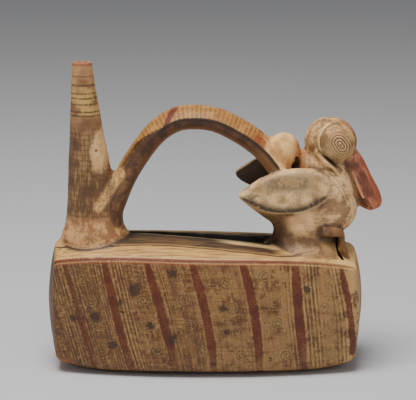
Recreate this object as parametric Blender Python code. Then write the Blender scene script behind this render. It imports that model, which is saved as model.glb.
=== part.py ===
"""Double-chambered whistling vessel in fired, slip-painted earthenware, in metres, +Z up.

A long pillow-sided block holds two chambers side by side. A tall spout opens into the front one,
and a strap handle arches from it to a pelican on a hollow pedestal, which opens into the back one.
A whistle ball sits where the handle meets the bird's head. The front faces -Y, and the origin is
the middle of the underside's flat rest face.
"""

import math

import bmesh
import bpy
from mathutils import Matrix, Vector

# Clay
WALL = 0.0045
CLAY_COLOUR = (0.50, 0.36, 0.23, 1.0)
CLAY_ROUGHNESS = 0.62
FILLET_SINK = 0.004

# Block body
BODY_LENGTH = 0.2135
BODY_HEIGHT = 0.0970
FRONT_DEPTH = 0.0475
BACK_DEPTH = 0.0400
FRONT_BOW = 0.0130
BACK_BOW = 0.0090
END_BULGE = 0.0064
FACE_BULGE = 0.0035
TOP_CROWN = 0.0090
TOP_TILT = 0.0043
END_DROP = 0.0060
END_EASE = 4
BELLY_LIFT = 0.0050
CORNER_LIFT = 0.0058
BODY_EDGE_RADIUS = 0.0045
REST_SHARE = 0.62
BODY_GRID = (16, 11, 6)
CHAMBER_GRID = (10, 3, 3)
EDGE_CUT = 0.3

# Partition, and the wedge-shaped groove above it
GROOVE_LEFT_Y = 0.0090
GROOVE_RIGHT_Y = -0.0120
GROOVE_LEFT_WIDTH = 0.0016
GROOVE_WIDTH = 0.0235
GROOVE_END_WIDTH = 0.0165
GROOVE_DEPTH = 0.0220
GROOVE_END_SHARE = 0.3
GROOVE_MOUTH_SHARE = 1.15
GROOVE_FLOOR_SHARE = 0.2
VALLEY_DEPTH = 0.0070
VALLEY_WIDTH = 0.0070
END_DENT = 0.0020
END_DENT_START = 0.9
PARTITION = 0.0060
PASSAGE_RADIUS = 0.0060
PASSAGE_HEIGHT = 0.0180

# Spout
SPOUT_INSET = 0.0200
SPOUT_Y = -0.0030
SPOUT_HEIGHT = 0.2185
SPOUT_RIM_RADIUS = 0.0069
SPOUT_FOOT_RADIUS = 0.0205
SPOUT_LEAN = 0.0075
SPOUT_FLARE = 0.0030
SPOUT_FLARE_RISE = 0.0060
SPOUT_TAPER = 1.1
SPOUT_CURVE = 1.2
SPOUT_SIDES = 18
SPOUT_BORE_RADIUS = 0.0040

# Handle
HANDLE_TOP = 0.1885
HANDLE_THICKNESS = 0.0165
HANDLE_FOOT_THICKNESS = 0.0145
HANDLE_WIDTH = 0.0300
HANDLE_FOOT_WIDTH = 0.0280
HANDLE_RINGS = 24

# Pelican
BIRD_INSET = 0.0372
BIRD_Y = -0.0060
BIRD_HEIGHT = 0.0870
PEDESTAL_RADIUS = 0.0210
PEDESTAL_FLARE = 0.0075
PEDESTAL_FLARE_RISE = 0.0040
PEDESTAL_SIDES = 20
PEDESTAL_BORE_RADIUS = 0.0045
WHISTLE_RADIUS = 0.0118
WHISTLE_WALL = 0.0030
WHISTLE_MOUTH = 0.0032
WINDWAY_RADIUS = 0.0012
TOE_THICKNESS = 0.0036


def clear_scene():
    for thing in list(bpy.data.objects):
        bpy.data.objects.remove(thing, do_unlink=True)


def clay():
    material = bpy.data.materials.new("painted_clay")
    material.use_nodes = True
    shader = material.node_tree.nodes["Principled BSDF"]
    shader.inputs["Base Color"].default_value = CLAY_COLOUR
    shader.inputs["Roughness"].default_value = CLAY_ROUGHNESS
    shader.inputs["Metallic"].default_value = 0.0
    return material


def mix(low, high, share):
    return low + (high - low) * share


def object_from(name, shape, helper=True):
    bmesh.ops.recalc_face_normals(shape, faces=shape.faces)
    mesh = bpy.data.meshes.new(name)
    shape.to_mesh(mesh)
    shape.free()
    made = bpy.data.objects.new(name, mesh)
    bpy.context.scene.collection.objects.link(made)
    if helper:
        made.hide_render = True
        made.display_type = "WIRE"
    return made


# Body: every shell of the block is one gridded cube, rounded and then bent to named surfaces.


def gridded_cube(columns, rows, levels):
    """A cube from -1 to 1 on each axis, cut by planes at the given places."""
    shape = bmesh.new()
    bmesh.ops.create_cube(shape, size=2.0)
    for axis, places in enumerate((columns, rows, levels)):
        normal = Vector((0.0, 0.0, 0.0))
        normal[axis] = 1.0
        for place in places:
            bmesh.ops.bisect_plane(
                shape,
                geom=shape.verts[:] + shape.edges[:] + shape.faces[:],
                plane_co=normal * place,
                plane_no=normal,
            )
    return shape


def grid_places(count, half, radius):
    """Evenly spread cuts, with two more beside each edge for its rounding."""
    edge = 1.0 - radius / half
    bend = 1.0 - EDGE_CUT * radius / half
    inner = [mix(-edge, edge, step / count) for step in range(count + 1)]
    return [-bend] + inner + [bend]


def rounded(point, halves, radius):
    """The point of a cube of halves moved onto the same cube with rounded edges."""
    full = [point[i] * halves[i] for i in range(3)]
    inner = Vector([max(-halves[i] + radius, min(halves[i] - radius, full[i])) for i in range(3)])
    out = Vector(full) - inner
    if out.length > 0.0:
        inner += out.normalized() * radius
    return [inner[i] / halves[i] for i in range(3)]


def groove_y(x):
    return mix(GROOVE_LEFT_Y, GROOVE_RIGHT_Y, x / BODY_LENGTH + 0.5)


def groove_half_width(x):
    """Half the groove's width: it widens up to the bird, and narrows a little past it."""
    widest = BODY_LENGTH / 2 - BIRD_INSET
    if x < widest:
        along = (x + BODY_LENGTH / 2) / (widest + BODY_LENGTH / 2)
        return mix(GROOVE_LEFT_WIDTH, GROOVE_WIDTH, along) / 2
    return mix(GROOVE_WIDTH, GROOVE_END_WIDTH, (x - widest) / BIRD_INSET) / 2


def groove_depth(x):
    """The groove's depth: deepest midway, and fading out towards both ends."""
    along = x / BODY_LENGTH + 0.5
    return GROOVE_DEPTH * mix(GROOVE_END_SHARE, 1.0, 4 * along * (1.0 - along))


def face_bulge(across, up):
    return (1.0 - across * across) * (1.0 - up * up)


def front_y(u, w):
    return -FRONT_DEPTH + FRONT_BOW * u * u + FACE_BULGE * w * w


def back_y(u, w):
    return BACK_DEPTH - BACK_BOW * u * u - FACE_BULGE * w * w


def end_x(v, w):
    return BODY_LENGTH / 2 + END_BULGE * face_bulge(v, w)


def top_z(u, v):
    return BODY_HEIGHT - TOP_TILT * (u + 1.0) / 2 - END_DROP * u**END_EASE - TOP_CROWN * v * v


def top_at(x):
    """The height of the block's top on its middle line."""
    return top_z(2 * x / BODY_LENGTH, 0.0)


def bottom_z(u, v):
    lift = BELLY_LIFT * max(0.0, abs(v) - REST_SHARE) / (1.0 - REST_SHARE)
    corner = CORNER_LIFT * max(0.0, abs(u) - REST_SHARE) ** 2 / (1.0 - REST_SHARE) ** 2
    return lift + corner


def valley(y, x):
    """How much of the soft dip beside the groove there is at a place, from 0 to 1."""
    reach = VALLEY_WIDTH + groove_half_width(x)
    return math.exp(-(((y - groove_y(x)) / reach) ** 2))


def valley_drop(y, x):
    """How far the top dips beside the groove: more and more towards the bird's end."""
    return VALLEY_DEPTH * (x / BODY_LENGTH + 0.5) ** 2 * valley(y, x)


def block():
    halves = (BODY_LENGTH / 2, (FRONT_DEPTH + BACK_DEPTH) / 2, BODY_HEIGHT / 2)
    shape = gridded_cube(*[grid_places(*both, BODY_EDGE_RADIUS) for both in zip(BODY_GRID, halves)])
    for vert in shape.verts:
        u, v, w = rounded(vert.co, halves, BODY_EDGE_RADIUS)
        x = u * end_x(v, w)
        y = mix(front_y(u, w), back_y(u, w), (v + 1.0) / 2)
        z = mix(bottom_z(u, v), top_z(u, v), (w + 1.0) / 2)
        z -= valley_drop(y, x) * max(0.0, w) ** END_EASE
        dent = END_DENT * valley(y, x) * max(0.0, abs(u) - END_DENT_START) / (1.0 - END_DENT_START)
        x -= math.copysign(dent, u)
        vert.co = (x, y, z)
    return object_from("block", shape, helper=False)


def chamber(name, near, far):
    """A hollow between two walls, given as functions of u, w and x that return y."""
    halves = (BODY_LENGTH / 2, FRONT_DEPTH / 2, BODY_HEIGHT / 2)
    shape = gridded_cube(*[grid_places(*both, BODY_EDGE_RADIUS) for both in zip(CHAMBER_GRID, halves)])
    depth = FRONT_DEPTH + BACK_DEPTH
    for vert in shape.verts:
        u, v, w = rounded(vert.co, halves, BODY_EDGE_RADIUS)
        x = u * (end_x(0.5, w) - WALL - END_DENT)
        low = near(u, w, x)
        y = mix(low, far(u, w, x), (v + 1.0) / 2)
        across = (2.0 * y - BACK_DEPTH + FRONT_DEPTH) / depth
        floor = bottom_z(u, across) + WALL
        roof = top_z(u, across) - WALL - valley_drop(y, x)
        vert.co = (x, y, mix(floor, roof, (w + 1.0) / 2))
    return object_from(name, shape)


def partition_half(x, w):
    """Half the thickness of what parts the chambers: the partition, widening round the groove above."""
    start = 1.0 - 2 * (groove_depth(x) + 2 * WALL) / BODY_HEIGHT
    high = max(0.0, w - start) / (1.0 - start)
    return mix(PARTITION / 2, groove_half_width(x) + WALL, high)


def front_chamber():
    return chamber(
        "front_chamber",
        lambda u, w, x: front_y(u, w) + WALL,
        lambda u, w, x: groove_y(x) - partition_half(x, w),
    )


def back_chamber():
    return chamber(
        "back_chamber",
        lambda u, w, x: groove_y(x) + partition_half(x, w),
        lambda u, w, x: back_y(u, w) - WALL,
    )


def groove():
    """The wedge-shaped channel between the two chambers' tops, narrow at the spout and wide at the bird."""
    left = spout_foot().x
    right = BODY_LENGTH / 2 - WALL
    rings = []
    for step in range(9):
        x = mix(left, right, step / 8)
        half = groove_half_width(x)
        low, high = top_at(x) - groove_depth(x), BODY_HEIGHT + WALL
        mouth, floor = GROOVE_MOUTH_SHARE, GROOVE_FLOOR_SHARE
        corners = ((-mouth, high), (mouth, high), (floor, low), (-floor, low))
        rings.append([Vector((x, groove_y(x) + share * half, z)) for share, z in corners])
    return skin("groove", rings)


def passage():
    """The low hole through the partition that joins the two chambers, below the spout."""
    x = spout_axis_x()
    shape = bmesh.new()
    bmesh.ops.create_cone(
        shape,
        cap_ends=True,
        segments=12,
        radius1=PASSAGE_RADIUS,
        radius2=PASSAGE_RADIUS,
        depth=PARTITION + 4 * WALL,
        matrix=Matrix.Translation((x, groove_y(x), PASSAGE_HEIGHT))
        @ Matrix.Rotation(math.radians(90), 4, "X"),
    )
    return object_from("passage", shape)


# Skins: a row of rings joined into one closed shape.


def skin(name, rings):
    """A closed shape through rings of points, which all have the same count."""
    shape = bmesh.new()
    edges = []
    for ring in rings:
        verts = [shape.verts.new(point) for point in ring]
        loop = [shape.edges.new((verts[i - 1], verts[i])) for i in range(len(verts))]
        edges.append(loop)
        if ring is rings[0] or ring is rings[-1]:
            shape.faces.new(verts)
    for near, far in zip(edges, edges[1:]):
        bmesh.ops.bridge_loops(shape, edges=near + far)
    return object_from(name, shape)


def circle(centre, across, deep, sides, tilt=0.0):
    """A ring of points round centre. tilt turns its plane about Y, from level."""
    turn = Matrix.Rotation(tilt, 3, "Y")
    ring = []
    for side in range(sides):
        angle = math.tau * side / sides
        offset = Vector((across * math.cos(angle), deep * math.sin(angle), 0.0))
        ring.append(Vector(centre) + turn @ offset)
    return ring


def curve_through(points, count):
    """Evenly spread points on a smooth curve through the given ones."""
    ends = [2 * points[0] - points[1]] + list(points) + [2 * points[-1] - points[-2]]
    made = []
    for step in range(count):
        place = (len(points) - 1) * step / (count - 1)
        start = min(int(place), len(points) - 2)
        t = place - start
        a, b, c, d = ends[start : start + 4]
        bend = (2 * a - 5 * b + 4 * c - d) * t * t + (3 * b - a - 3 * c + d) * t * t * t
        made.append((2 * b + (c - a) * t + bend) / 2)
    return made


# Spout


def spout_axis_x():
    return -BODY_LENGTH / 2 + SPOUT_INSET


def spout_foot():
    return Vector((spout_axis_x() + SPOUT_LEAN, SPOUT_Y, BODY_HEIGHT))


def spout_section(z):
    """The centre and radius of the spout at a height."""
    foot = spout_foot()
    down = (SPOUT_HEIGHT - z) / (SPOUT_HEIGHT - foot.z)
    centre = Vector((foot.x - SPOUT_LEAN * (1.0 - max(0.0, down) ** SPOUT_CURVE), foot.y, z))
    flare = SPOUT_FLARE * math.exp(-max(0.0, z - foot.z) / SPOUT_FLARE_RISE)
    radius = mix(SPOUT_RIM_RADIUS, SPOUT_FOOT_RADIUS, max(0.0, down) ** SPOUT_TAPER) + flare
    return centre, radius


def spout():
    low = BODY_HEIGHT - GROOVE_DEPTH
    rings = []
    for step in range(15):
        z = mix(low, SPOUT_HEIGHT, (step / 14) ** SPOUT_CURVE)
        centre, radius = spout_section(z)
        rings.append(circle(centre, radius, radius, SPOUT_SIDES))
    return skin("spout", rings)


def spout_bore():
    top = SPOUT_HEIGHT + FILLET_SINK
    bottom = BODY_HEIGHT - WALL - 2 * FILLET_SINK
    x, radius = spout_axis_x(), SPOUT_BORE_RADIUS
    rings = [circle((x, SPOUT_Y, z), radius, radius, 12) for z in (bottom, top)]
    return skin("spout_bore", rings)


# Pelican. Its places and sizes are shares of its height, from the block's top at its pedestal.


def bird(x, y, z):
    """A point from shares of the bird's height, measured from the pedestal's axis at the block's top."""
    base_x = BODY_LENGTH / 2 - BIRD_INSET
    return Vector((base_x, BIRD_Y, top_at(base_x))) + BIRD_HEIGHT * Vector((x, y, z))


def egg(name, centre, halves, tilt=0.0, columns=18, rows=11):
    """An ellipsoid tilted in the XZ plane, with its halves as shares of the bird's height."""
    shape = bmesh.new()
    bmesh.ops.create_uvsphere(shape, u_segments=columns, v_segments=rows, radius=BIRD_HEIGHT)
    bmesh.ops.rotate(shape, verts=shape.verts, matrix=Matrix.Rotation(math.pi / 2, 3, "Y"))
    bmesh.ops.scale(shape, verts=shape.verts, vec=halves)
    bmesh.ops.rotate(shape, verts=shape.verts, matrix=Matrix.Rotation(-tilt, 3, "Y"))
    bmesh.ops.translate(shape, verts=shape.verts, vec=centre)
    return object_from(name, shape)


def tube(name, points, radii, sides, depth_share=1.0):
    """A tube in the XZ plane through points, with a radius at each."""
    path = curve_through(points, 2 * len(points) + 1)
    sizes = curve_through([Vector((radius, 0.0, 0.0)) for radius in radii], len(path))
    rings = []
    for index, point in enumerate(path):
        ahead = path[min(index + 1, len(path) - 1)] - path[max(index - 1, 0)]
        tilt = math.atan2(ahead.x, ahead.z)
        rings.append(circle(point, sizes[index].x, sizes[index].x * depth_share, sides, tilt))
    return skin(name, rings)


def bird_tube(name, stations, sides, depth_share=1.0):
    """A tube on the bird's middle plane, through stations of x, z and radius shares."""
    points = [bird(x, 0.0, z) for x, z, radius in stations]
    return tube(name, points, [BIRD_HEIGHT * radius for x, z, radius in stations], sides, depth_share)


def pedestal():
    base = bird(0.0, 0.0, 0.0)
    low = base.z - GROOVE_DEPTH - FILLET_SINK
    high = bird(0.0, 0.0, 0.3).z
    rings = []
    for z in [low] + [mix(base.z - 2 * FILLET_SINK, high, step / 5) for step in range(6)]:
        flare = PEDESTAL_FLARE * math.exp(-max(0.0, z - base.z + FILLET_SINK) / PEDESTAL_FLARE_RISE)
        radius = PEDESTAL_RADIUS + flare
        rings.append(circle((base.x, base.y, z), radius, radius * 0.95, PEDESTAL_SIDES))
    return skin("pedestal", rings)


def bird_trunk():
    stations = ((-0.52, 0.36, 0.03), (-0.38, 0.33, 0.10), (-0.22, 0.305, 0.18), (-0.05, 0.295, 0.225))
    return bird_tube("bird_trunk", stations + ((0.09, 0.28, 0.225), (0.22, 0.27, 0.16)), 18, 0.95)


def bird_breast():
    return egg("bird_breast", bird(0.215, 0.0, 0.268), (0.223, 0.205, 0.223), 0.0, 18, 10)


def bird_neck():
    stations = ((0.19, 0.26, 0.205), (0.192, 0.41, 0.212), (0.174, 0.54, 0.184), (0.128, 0.665, 0.130))
    return bird_tube("bird_neck", stations + ((0.150, 0.78, 0.10),), 16)


def bird_head():
    return egg("bird_head", bird(0.209, 0.0, 0.808), (0.214, 0.190, 0.202), math.radians(-20))


def beak():
    stations = ((0.319, 0.743, 0.080), (0.403, 0.616, 0.090), (0.468, 0.484, 0.092))
    stations += ((0.526, 0.369, 0.094), (0.563, 0.288, 0.080), (0.577, 0.252, 0.048))
    return bird_tube("beak", stations, 12, 0.85)


def eye(side):
    """A low mound round each eye, with the lens of the eye standing a little on it."""
    mound = egg("eye_mound", bird(0.247, side * 0.138, 0.815), (0.150, 0.055, 0.115), math.radians(25), 14, 7)
    lens = egg("eye_lens", bird(0.277, side * 0.186, 0.808), (0.047, 0.018, 0.028), math.radians(40), 10, 5)
    return [mound, lens]


def wing(side, back, lift):
    """A leaf-shaped wing held against the trunk, with its tip standing clear behind."""
    shape = bmesh.new()
    bmesh.ops.create_uvsphere(shape, u_segments=20, v_segments=7, radius=1.0)
    bmesh.ops.rotate(shape, verts=shape.verts, matrix=Matrix.Rotation(math.pi / 2, 3, "X"))
    centre = bird(-0.158 - back, side * 0.215, 0.451 + lift)
    for vert in shape.verts:
        along, out, up = vert.co
        leaf = 0.198 * (1.0 - 0.6 * max(0.0, -along))
        away = 0.050 * out - side * 0.030 * along
        offset = Vector((0.383 * along, away, leaf * up + 0.026 * (along - 1.0)))
        vert.co = centre + BIRD_HEIGHT * offset
    return object_from("wing", shape)


def whistle_centre():
    return bird(-0.172, 0.0, 0.743)


def ball(name, radius, columns, rows):
    shape = bmesh.new()
    place = Matrix.Translation(whistle_centre())
    bmesh.ops.create_uvsphere(shape, u_segments=columns, v_segments=rows, radius=radius, matrix=place)
    return object_from(name, shape)


def handle_lump():
    """The lump of clay that fills the dip between the handle's end and the whistle ball."""
    return egg("handle_lump", bird(-0.262, 0.0, 0.722), (0.115, 0.125, 0.090), math.radians(-12), 12, 7)


def windway_wall():
    """The thin standing tube of clay between the ball and the neck that carries the windway."""
    return bird_tube("windway_wall", ((-0.02, 0.52, 0.030), (-0.012, 0.63, 0.028), (-0.008, 0.735, 0.022)), 8, 2.0)


def whistle_mouth_centre():
    slope = math.radians(-38)
    reach = WHISTLE_RADIUS - WHISTLE_WALL / 2
    return whistle_centre() + reach * Vector((math.cos(slope), 0.0, math.sin(slope)))


def whistle_mouth():
    """The slot through the ball's lower right wall, across the ball."""
    shape = bmesh.new()
    size = (WHISTLE_MOUTH, 2 * WHISTLE_RADIUS, 2 * WHISTLE_MOUTH + WHISTLE_WALL)
    bmesh.ops.create_cube(shape, size=1.0)
    bmesh.ops.scale(shape, verts=shape.verts, vec=size)
    bmesh.ops.translate(shape, verts=shape.verts, vec=whistle_mouth_centre())
    return object_from("whistle_mouth", shape)


def windway():
    """The narrow air duct up the neck's back, ending at the whistle's mouth."""
    points = [bird(0.0, 0.0, 0.30), whistle_mouth_centre() + Vector((WHISTLE_MOUTH / 2, 0.0, 0.0))]
    return skin("windway", [circle(point, WINDWAY_RADIUS, 2 * WINDWAY_RADIUS, 8) for point in points])


def bird_hollows():
    """The hollow in the pedestal, trunk, neck and head, and its duct down to the back chamber."""
    base = bird(0.0, 0.0, 0.0)
    inner = PEDESTAL_RADIUS - WALL
    floor = base.z + WALL / 2
    roof = bird(0.0, 0.0, 0.30).z
    room = skin("pedestal_room", [circle((base.x, base.y, z), inner, inner * 0.9, 14) for z in (floor, roof)])
    trunk = egg("trunk_room", bird(0.06, 0.0, 0.29), (0.30, 0.160, 0.165), 0.0, 14, 8)
    head = egg("head_room", bird(0.209, 0.0, 0.808), (0.155, 0.130, 0.145), 0.0, 12, 7)
    neck = bird_tube("neck_room", ((0.15, 0.36, 0.06), (0.115, 0.54, 0.05), (0.16, 0.80, 0.05)), 8)
    duct_y = groove_y(base.x) + groove_half_width(base.x) + WALL + PEDESTAL_BORE_RADIUS / 2
    low = Vector((base.x, duct_y, base.z - 3 * WALL))
    high = Vector((base.x, base.y + PEDESTAL_BORE_RADIUS, base.z + 2 * WALL))
    bore = PEDESTAL_BORE_RADIUS
    duct = skin("bird_duct", [circle(point, bore, bore, 10) for point in (low, high)])
    return [room, trunk, neck, head, duct]


def toes():
    """The folded leg, the toe from it to the block, and the web of clay behind the toe."""
    radius = TOE_THICKNESS
    bar = [bird(0.141, -0.208, 0.107), bird(0.225, -0.186, 0.097), bird(0.298, -0.135, 0.085)]
    toe = [bar[-1], bird(0.304, -0.124, 0.023), bird(0.304, -0.124, -0.056), bird(0.349, -0.124, -0.123)]
    leg = tube("leg", bar, [radius * 0.95, radius, radius * 0.95], 8)
    strap = tube("toe", toe, [radius * 0.62] * 4, 8, 1.5)
    web = egg("heel_web", bird(0.262, -0.04, 0.0), (0.045, 0.05, 0.13), 0.0, 10, 6)
    return [leg, strap, web]


# Handle


def handle_path():
    """Points along the strap's middle, from inside the spout's foot to inside the bird's back."""
    foot = spout_foot()
    end = bird(-0.15, 0.0, 0.50)
    top = HANDLE_TOP - HANDLE_THICKNESS / 2
    shares = (
        (0.075, -0.22),
        (0.088, 0.13),
        (0.121, 0.31),
        (0.163, 0.48),
        (0.222, 0.65),
        (0.321, 0.86),
        (0.425, 0.976),
        (0.532, 1.00),
        (0.643, 0.973),
        (0.764, 0.877),
        (0.847, 0.783),
        (0.907, 0.687),
        (0.963, 0.56),
        (0.989, 0.40),
    )
    points = []
    for along, up in shares:
        x = mix(foot.x, end.x, along)
        y = mix(foot.y, end.y, along)
        points.append(Vector((x, y, mix(BODY_HEIGHT, top, up))))
    return points


def handle():
    """A strap with a crowned outer face, a ridge along each side and a flatter inner face."""
    path = curve_through(handle_path(), HANDLE_RINGS)
    outline = ((-0.50, 0.06), (-0.34, 0.34), (-0.12, 0.49), (0.12, 0.49), (0.34, 0.34), (0.50, 0.06))
    outline += ((0.47, -0.26), (0.33, -0.46), (0.12, -0.51), (-0.12, -0.51), (-0.33, -0.46), (-0.47, -0.26))
    rings = []
    for index, point in enumerate(path):
        ahead = path[min(index + 1, len(path) - 1)] - path[max(index - 1, 0)]
        outward = Vector((-ahead.z, 0.0, ahead.x)).normalized()
        grown = min(1.0, 2.5 * index / (len(path) - 1))
        width = mix(HANDLE_FOOT_WIDTH, HANDLE_WIDTH, grown)
        thickness = mix(HANDLE_FOOT_THICKNESS, HANDLE_THICKNESS, grown)
        side = Vector((0.0, width, 0.0))
        rings.append([point + side * across + outward * (thickness * out) for across, out in outline])
    return skin("handle", rings)


def join_all(vessel, others, operation):
    for other in others:
        step = vessel.modifiers.new(other.name, "BOOLEAN")
        step.operation = operation
        step.solver = "EXACT"
        step.object = other


def vessel():
    body = block()
    body.name = "vessel"
    grown = [spout(), handle(), pedestal(), bird_trunk(), bird_breast(), bird_neck(), bird_head(), beak()]
    grown += eye(-1.0) + eye(1.0) + [wing(-1.0, 0.0, 0.0), wing(1.0, 0.02, 0.09)] + toes()
    grown += [ball("whistle_ball", WHISTLE_RADIUS, 16, 10), handle_lump(), windway_wall()]
    hollowed = [front_chamber(), back_chamber(), passage(), spout_bore()] + bird_hollows()
    hollowed += [ball("whistle_room", WHISTLE_RADIUS - WHISTLE_WALL, 10, 6), whistle_mouth(), windway()]
    join_all(body, [groove()], "DIFFERENCE")
    join_all(body, grown, "UNION")
    join_all(body, hollowed, "DIFFERENCE")
    body.data.materials.append(clay())
    body.data.shade_smooth()
    return body


clear_scene()
vessel()
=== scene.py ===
# %% [markdown]
# # A whistling vessel with two chambers
#
# The real object is one piece of hand-built earthenware. A long pillow-sided block holds two
# chambers, a tapering spout opens into the front one, and a strap handle arches over to a pelican
# that stands on a hollow pedestal. It was painted with cream, red and dark slips before firing and
# rubbed to a soft sheen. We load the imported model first, so that all we make stands where it does.

import math

import bmesh
import bpy
import numpy as np
from mathutils import Matrix, Vector, noise
from mathutils.bvhtree import BVHTree


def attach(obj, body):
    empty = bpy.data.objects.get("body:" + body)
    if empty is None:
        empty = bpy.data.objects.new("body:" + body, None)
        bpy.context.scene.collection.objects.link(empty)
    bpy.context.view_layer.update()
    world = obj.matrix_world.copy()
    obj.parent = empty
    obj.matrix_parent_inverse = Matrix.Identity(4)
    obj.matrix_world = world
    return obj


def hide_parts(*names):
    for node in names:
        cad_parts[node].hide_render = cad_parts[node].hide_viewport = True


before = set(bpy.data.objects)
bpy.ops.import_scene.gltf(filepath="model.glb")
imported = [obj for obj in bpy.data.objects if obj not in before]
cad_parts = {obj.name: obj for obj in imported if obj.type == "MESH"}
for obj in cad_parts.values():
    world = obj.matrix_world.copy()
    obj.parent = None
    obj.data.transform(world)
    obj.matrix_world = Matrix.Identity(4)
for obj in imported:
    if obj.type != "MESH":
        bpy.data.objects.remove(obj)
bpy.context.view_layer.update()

# %% [markdown]
# ## Camera, floor and light
#
# The photograph looks slightly down at the front from over a metre away, so the camera stands
# there, with a long lens. The floor is a plain pale sheet. One broad soft light above, a weaker one
# on each side and a pale sky give the even light of a studio, with soft contact shadows.

# %% Camera
VIEW_DOWN = math.radians(12.5)
VIEW_AWAY, LENS = 1.300, 157.76
AIM = Vector((0.0014, 0.0, 0.119))
camera = bpy.data.objects.new("camera", bpy.data.cameras.new("camera"))
bpy.context.scene.collection.objects.link(camera)
camera.data.lens = LENS
camera.data.clip_start = 0.01
camera.location = AIM + VIEW_AWAY * Vector((0.0, -math.cos(VIEW_DOWN), math.sin(VIEW_DOWN)))
camera.rotation_euler = (math.pi / 2 - VIEW_DOWN, 0.0, 0.0)
bpy.context.scene.camera = camera
print("camera in mm:", [round(1000 * value) for value in camera.location])


# %% Lights and sky
SKY_COLOUR, SKY_STRENGTH = (0.84, 0.85, 0.88, 1.0), 0.26


def soft_light(name, place, size, power):
    """A round lamp that is turned to the middle of the vessel."""
    lamp = bpy.data.lights.new(name, "AREA")
    lamp.shape = "DISK"
    lamp.size = size
    lamp.energy = power
    made = bpy.data.objects.new(name, lamp)
    bpy.context.scene.collection.objects.link(made)
    made.location = place
    made.rotation_euler = (AIM - Vector(place)).to_track_quat("-Z", "Y").to_euler()


soft_light("over_light", (-0.18, -0.34, 1.40), 0.8, 24.0)
soft_light("left_light", (-1.20, -0.70, 0.55), 0.8, 2.8)
soft_light("right_light", (1.10, -0.80, 0.50), 0.9, 3.2)
sky = bpy.data.worlds.new("sky")
bpy.context.scene.world = sky
sky.use_nodes = True
background = sky.node_tree.nodes["Background"]
background.inputs["Color"].default_value = SKY_COLOUR
background.inputs["Strength"].default_value = SKY_STRENGTH
print("lights:", len(bpy.data.lights), "and the sky")

# %% [markdown]
# ## Sizes
#
# The vessel's sizes in metres, the same as the model's. Each shape below is built from them again,
# only with many more faces, because the finished skin has to carry fine clay work.

# %% Sizes of the block, the groove, the spout, the handle and the bird
WALL = 0.0045
BODY_LENGTH, BODY_HEIGHT = 0.2135, 0.0970
FRONT_DEPTH, BACK_DEPTH = 0.0475, 0.0400
FRONT_BOW, BACK_BOW = 0.0130, 0.0090
END_BULGE, FACE_BULGE = 0.0064, 0.0035
TOP_CROWN, TOP_TILT, END_DROP, END_EASE = 0.0090, 0.0043, 0.0060, 4
BELLY_LIFT, CORNER_LIFT, REST_SHARE = 0.0050, 0.0058, 0.62
BODY_EDGE_RADIUS = 0.0045
GROOVE_LEFT_Y, GROOVE_RIGHT_Y = 0.0090, -0.0120
GROOVE_LEFT_WIDTH, GROOVE_WIDTH, GROOVE_END_WIDTH = 0.0016, 0.0235, 0.0165
GROOVE_DEPTH, GROOVE_END_SHARE = 0.0220, 0.3
GROOVE_MOUTH_SHARE, GROOVE_FLOOR_SHARE = 1.15, 0.2
VALLEY_DEPTH, VALLEY_WIDTH = 0.0070, 0.0070
END_DENT, END_DENT_START = 0.0020, 0.9
PARTITION, PASSAGE_RADIUS, PASSAGE_HEIGHT = 0.0060, 0.0060, 0.0180
SPOUT_INSET, SPOUT_Y, SPOUT_HEIGHT = 0.0200, -0.0030, 0.2185
SPOUT_RIM_RADIUS, SPOUT_FOOT_RADIUS, SPOUT_LEAN = 0.0069, 0.0205, 0.0075
SPOUT_FLARE, SPOUT_FLARE_RISE, SPOUT_TAPER, SPOUT_CURVE = 0.0030, 0.0060, 1.1, 1.2
SPOUT_BORE_RADIUS = 0.0040
HANDLE_TOP, HANDLE_THICKNESS, HANDLE_FOOT_THICKNESS = 0.1885, 0.0165, 0.0145
HANDLE_WIDTH, HANDLE_FOOT_WIDTH = 0.0300, 0.0280
BIRD_INSET, BIRD_Y, BIRD_HEIGHT = 0.0372, -0.0060, 0.0870
PEDESTAL_RADIUS, PEDESTAL_FLARE, PEDESTAL_FLARE_RISE = 0.0210, 0.0075, 0.0040
WHISTLE_RADIUS, WHISTLE_WALL = 0.0118, 0.0030
TOE_THICKNESS, PEDESTAL_BORE_RADIUS = 0.0036, 0.0045
BLOCK_SIZE = (BODY_LENGTH, FRONT_DEPTH + BACK_DEPTH, BODY_HEIGHT)
print("block in mm:", [round(1000 * size, 1) for size in BLOCK_SIZE])

# %% [markdown]
# ## Making meshes
#
# Each rough shape becomes a hidden helper object: the clay skin is wrapped round all of them later.
# A blend of two values, a smooth curve through points and a closed skin through rings of points are
# enough to make every part of the vessel that isn't a box or a ball.


# %% Small helpers
def mix(low, high, share):
    return low + (high - low) * share


def object_from(name, shape):
    bmesh.ops.recalc_face_normals(shape, faces=shape.faces)
    mesh = bpy.data.meshes.new(name)
    shape.to_mesh(mesh)
    shape.free()
    made = bpy.data.objects.new(name, mesh)
    bpy.context.scene.collection.objects.link(made)
    return made


def skin(name, rings):
    """A closed shape through rings of points, which all have the same count."""
    shape = bmesh.new()
    edges = []
    for ring in rings:
        verts = [shape.verts.new(point) for point in ring]
        edges.append([shape.edges.new((verts[i - 1], verts[i])) for i in range(len(verts))])
        if ring is rings[0] or ring is rings[-1]:
            shape.faces.new(verts)
    for near, far in zip(edges, edges[1:]):
        bmesh.ops.bridge_loops(shape, edges=near + far)
    return object_from(name, shape)


def circle(centre, across, deep, sides, tilt=0.0):
    """A ring of points round centre. tilt turns its plane about Y, from level."""
    turn = Matrix.Rotation(tilt, 3, "Y")
    ring = []
    for side in range(sides):
        angle = math.tau * side / sides
        ring.append(Vector(centre) + turn @ Vector((across * math.cos(angle), deep * math.sin(angle), 0.0)))
    return ring


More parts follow.
